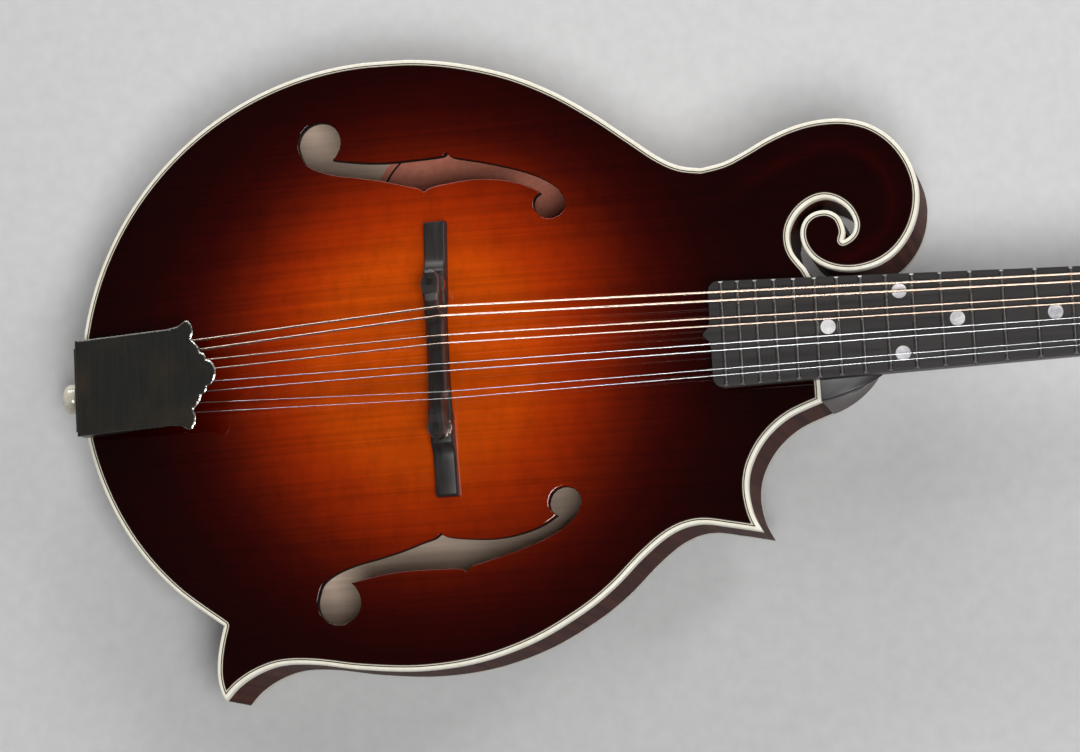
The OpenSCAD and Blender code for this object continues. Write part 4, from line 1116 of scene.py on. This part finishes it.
FLANK = [[-34.5, -7.6], [-22, -7.4], [-20, -6.0], [-14, -5.4], [-10, -3.1], [-8, -4.0], [-4, -6.2],
         [1, -5.6], [5, -4.2], [7, -6.0], [12, -6.3], [14, -4.6], [20, -5.9], [22, -7.4], [34.5, -7.6]]
FLANK = np.array(FLANK)
crown_line = np.array([[0, 27.3], [21, 26.8], [24.5, 25.2], [28, 24.6], [33, 24.4], [34.6, 23.6]])
rings = []
for y in np.concatenate([np.linspace(-34.55, -33, 7), np.linspace(-32.6, 32.6, 150),
                         np.linspace(33, 34.55, 7)]):
    far = abs(y)
    boss = 3.5 * math.sqrt(max(1 - (max(far - 29.3, 0) / 5.3) ** 2, 0.01))
    left = -5.1 - boss + 0.5 * ease((20 - far) / 12)
    right_x = -5.1 + boss + 1.7 * ease((19 - far) / 5)
    carved = ease((25 - far) / 4)
    top = np.interp(far, crown_line[:, 0], crown_line[:, 1])
    low = 19.15 + 2.2 * ease((23 - far) / 12)
    break_x = min(max(np.interp(y, FLANK[:, 0], FLANK[:, 1]), left + 0.3), right_x - 1.6)
    section = [(left, top - 0.5 - 3.2 * carved), (left + 0.2, top - 0.2 - 3.1 * carved),
               (break_x, top - 0.1 - 0.9 * carved), (right_x - 1.2, top - 0.1 * carved),
               (right_x - 0.55, top), (right_x, top - 0.3), (right_x, low), (left, low)]
    rings.append([(a, y, b) for a, b in section])
v, f = loft(np.array(rings))
saddle = mesh_piece("saddle_crown", BODY(v), f, M_BRIDGE, 22)
# painted highlight: the crown ridge faces get the lighter reddish-brown ebony
paint_faces(saddle, M_CROWN_HIGHLIGHT, [k for k in range(len(f) - 2) if k % 8 == 3])
settle(saddle, "saddle", ["bridge_saddle"])


# ---- the label, seen through the bass sound hole
LABEL_RINGS, LABEL_TURNS = 24, 96
share = np.repeat(np.arange(1, LABEL_RINGS + 1) / LABEL_RINGS, LABEL_TURNS)
a = np.tile(np.linspace(0, 2 * math.pi, LABEL_TURNS, endpoint=False), LABEL_RINGS)
q = np.stack([8 + 50 * share * np.cos(a), 75 + 32 * share * np.sin(a)], 1)
q = np.vstack([q, [[8, 75]]])
share = np.append(share, 0)
k = (np.arange(LABEL_RINGS - 1)[:, None] * LABEL_TURNS + np.arange(LABEL_TURNS)).ravel()
j = k // LABEL_TURNS * LABEL_TURNS + (k + 1) % LABEL_TURNS
s = np.vstack([np.stack([k, k + LABEL_TURNS, j + LABEL_TURNS], 1), np.stack([k, j + LABEL_TURNS, j], 1),
               [[len(q) - 1, i, (i + 1) % LABEL_TURNS] for i in range(LABEL_TURNS)]])
level = back_inside_z(q[:, 0], q[:, 1])
v, f, used = closed_slab(q, s, level + 0.2, level + 0.03)
label = mesh_piece("paper_label", BODY(v), f, M_LABEL, 40)
set_attribute(label, "rim", np.tile(share[used], 2))
settle(label, "body", ["label"])


# ---- floor, light and camera
def area_light(name, at, target, size, power):
    data = bpy.data.lights.new(name, "AREA")
    data.shape = "RECTANGLE"
    data.size, data.size_y = size
    data.energy = power
    obj = bpy.data.objects.new(name, data)
    bpy.context.scene.collection.objects.link(obj)
    start, end = BODY([at, target])
    obj.location = start
    obj.rotation_mode = "QUATERNION"
    obj.rotation_quaternion = Vector(end - start).to_track_quat("-Z", "Y")
    return obj


def floor():
    mesh = bpy.data.meshes.new("studio_floor")
    r = 6.0
    z = CAD_BOX[0].z - 0.0004
    mesh.from_pydata([(-r, -r, z), (r, -r, z), (r, r, z), (-r, r, z)], [], [(0, 1, 2, 3)])
    mat, tree, shader = material("floor_pale", 0.8, specular=0.2)
    fine = noise(tree, coords(tree), 160.0, 4.0)
    tree.links.new(ramp(tree, fine, [(0.3, (0.60, 0.60, 0.60)), (0.7, (0.64, 0.64, 0.64))]),
                   shader.inputs["Base Color"])
    mesh.materials.append(mat)
    obj = bpy.data.objects.new("studio_floor", mesh)
    bpy.context.scene.collection.objects.link(obj)


floor()
area_light("key", (504, -576, 1629), (0, 0, 0), (0.7, 0.7), 22)
area_light("upper", (-250, 1400, 640), (0, 0, 0), (1.4, 0.5), 15)
area_light("right", (1200, 800, 900), (100, 0, 0), (0.5, 0.9), 8)
world = bpy.data.worlds.new("studio")
bpy.context.scene.world = world
world.use_nodes = True
world.node_tree.nodes["Background"].inputs[0].default_value = (0.80, 0.80, 0.84, 1)
world.node_tree.nodes["Background"].inputs[1].default_value = 0.05

cam_data = bpy.data.cameras.new("camera")
cam = bpy.data.objects.new("camera", cam_data)
bpy.context.scene.collection.objects.link(cam)
bpy.context.scene.camera = cam
cam_data.sensor_width = 36.0
cam_data.lens = 124.05
cam_data.clip_start = 0.05
cam_data.clip_end = 30.0
eye = BODY([[309.91, -234.27, 1470.43]])[0]
ahead = unit(np.array([-0.18283, 0.14884, -0.97181]) @ BODY.basis)
above = unit(np.array([0.07890, 0.98751, 0.13640]) @ BODY.basis)
right = np.cross(ahead, above)
turn = Matrix([[right[k], above[k], -ahead[k]] for k in range(3)])
cam.matrix_world = Matrix.Translation(Vector(eye)) @ turn.to_4x4()

bpy.context.scene.view_settings.view_transform = "Standard"
bpy.context.scene.view_settings.look = "None"
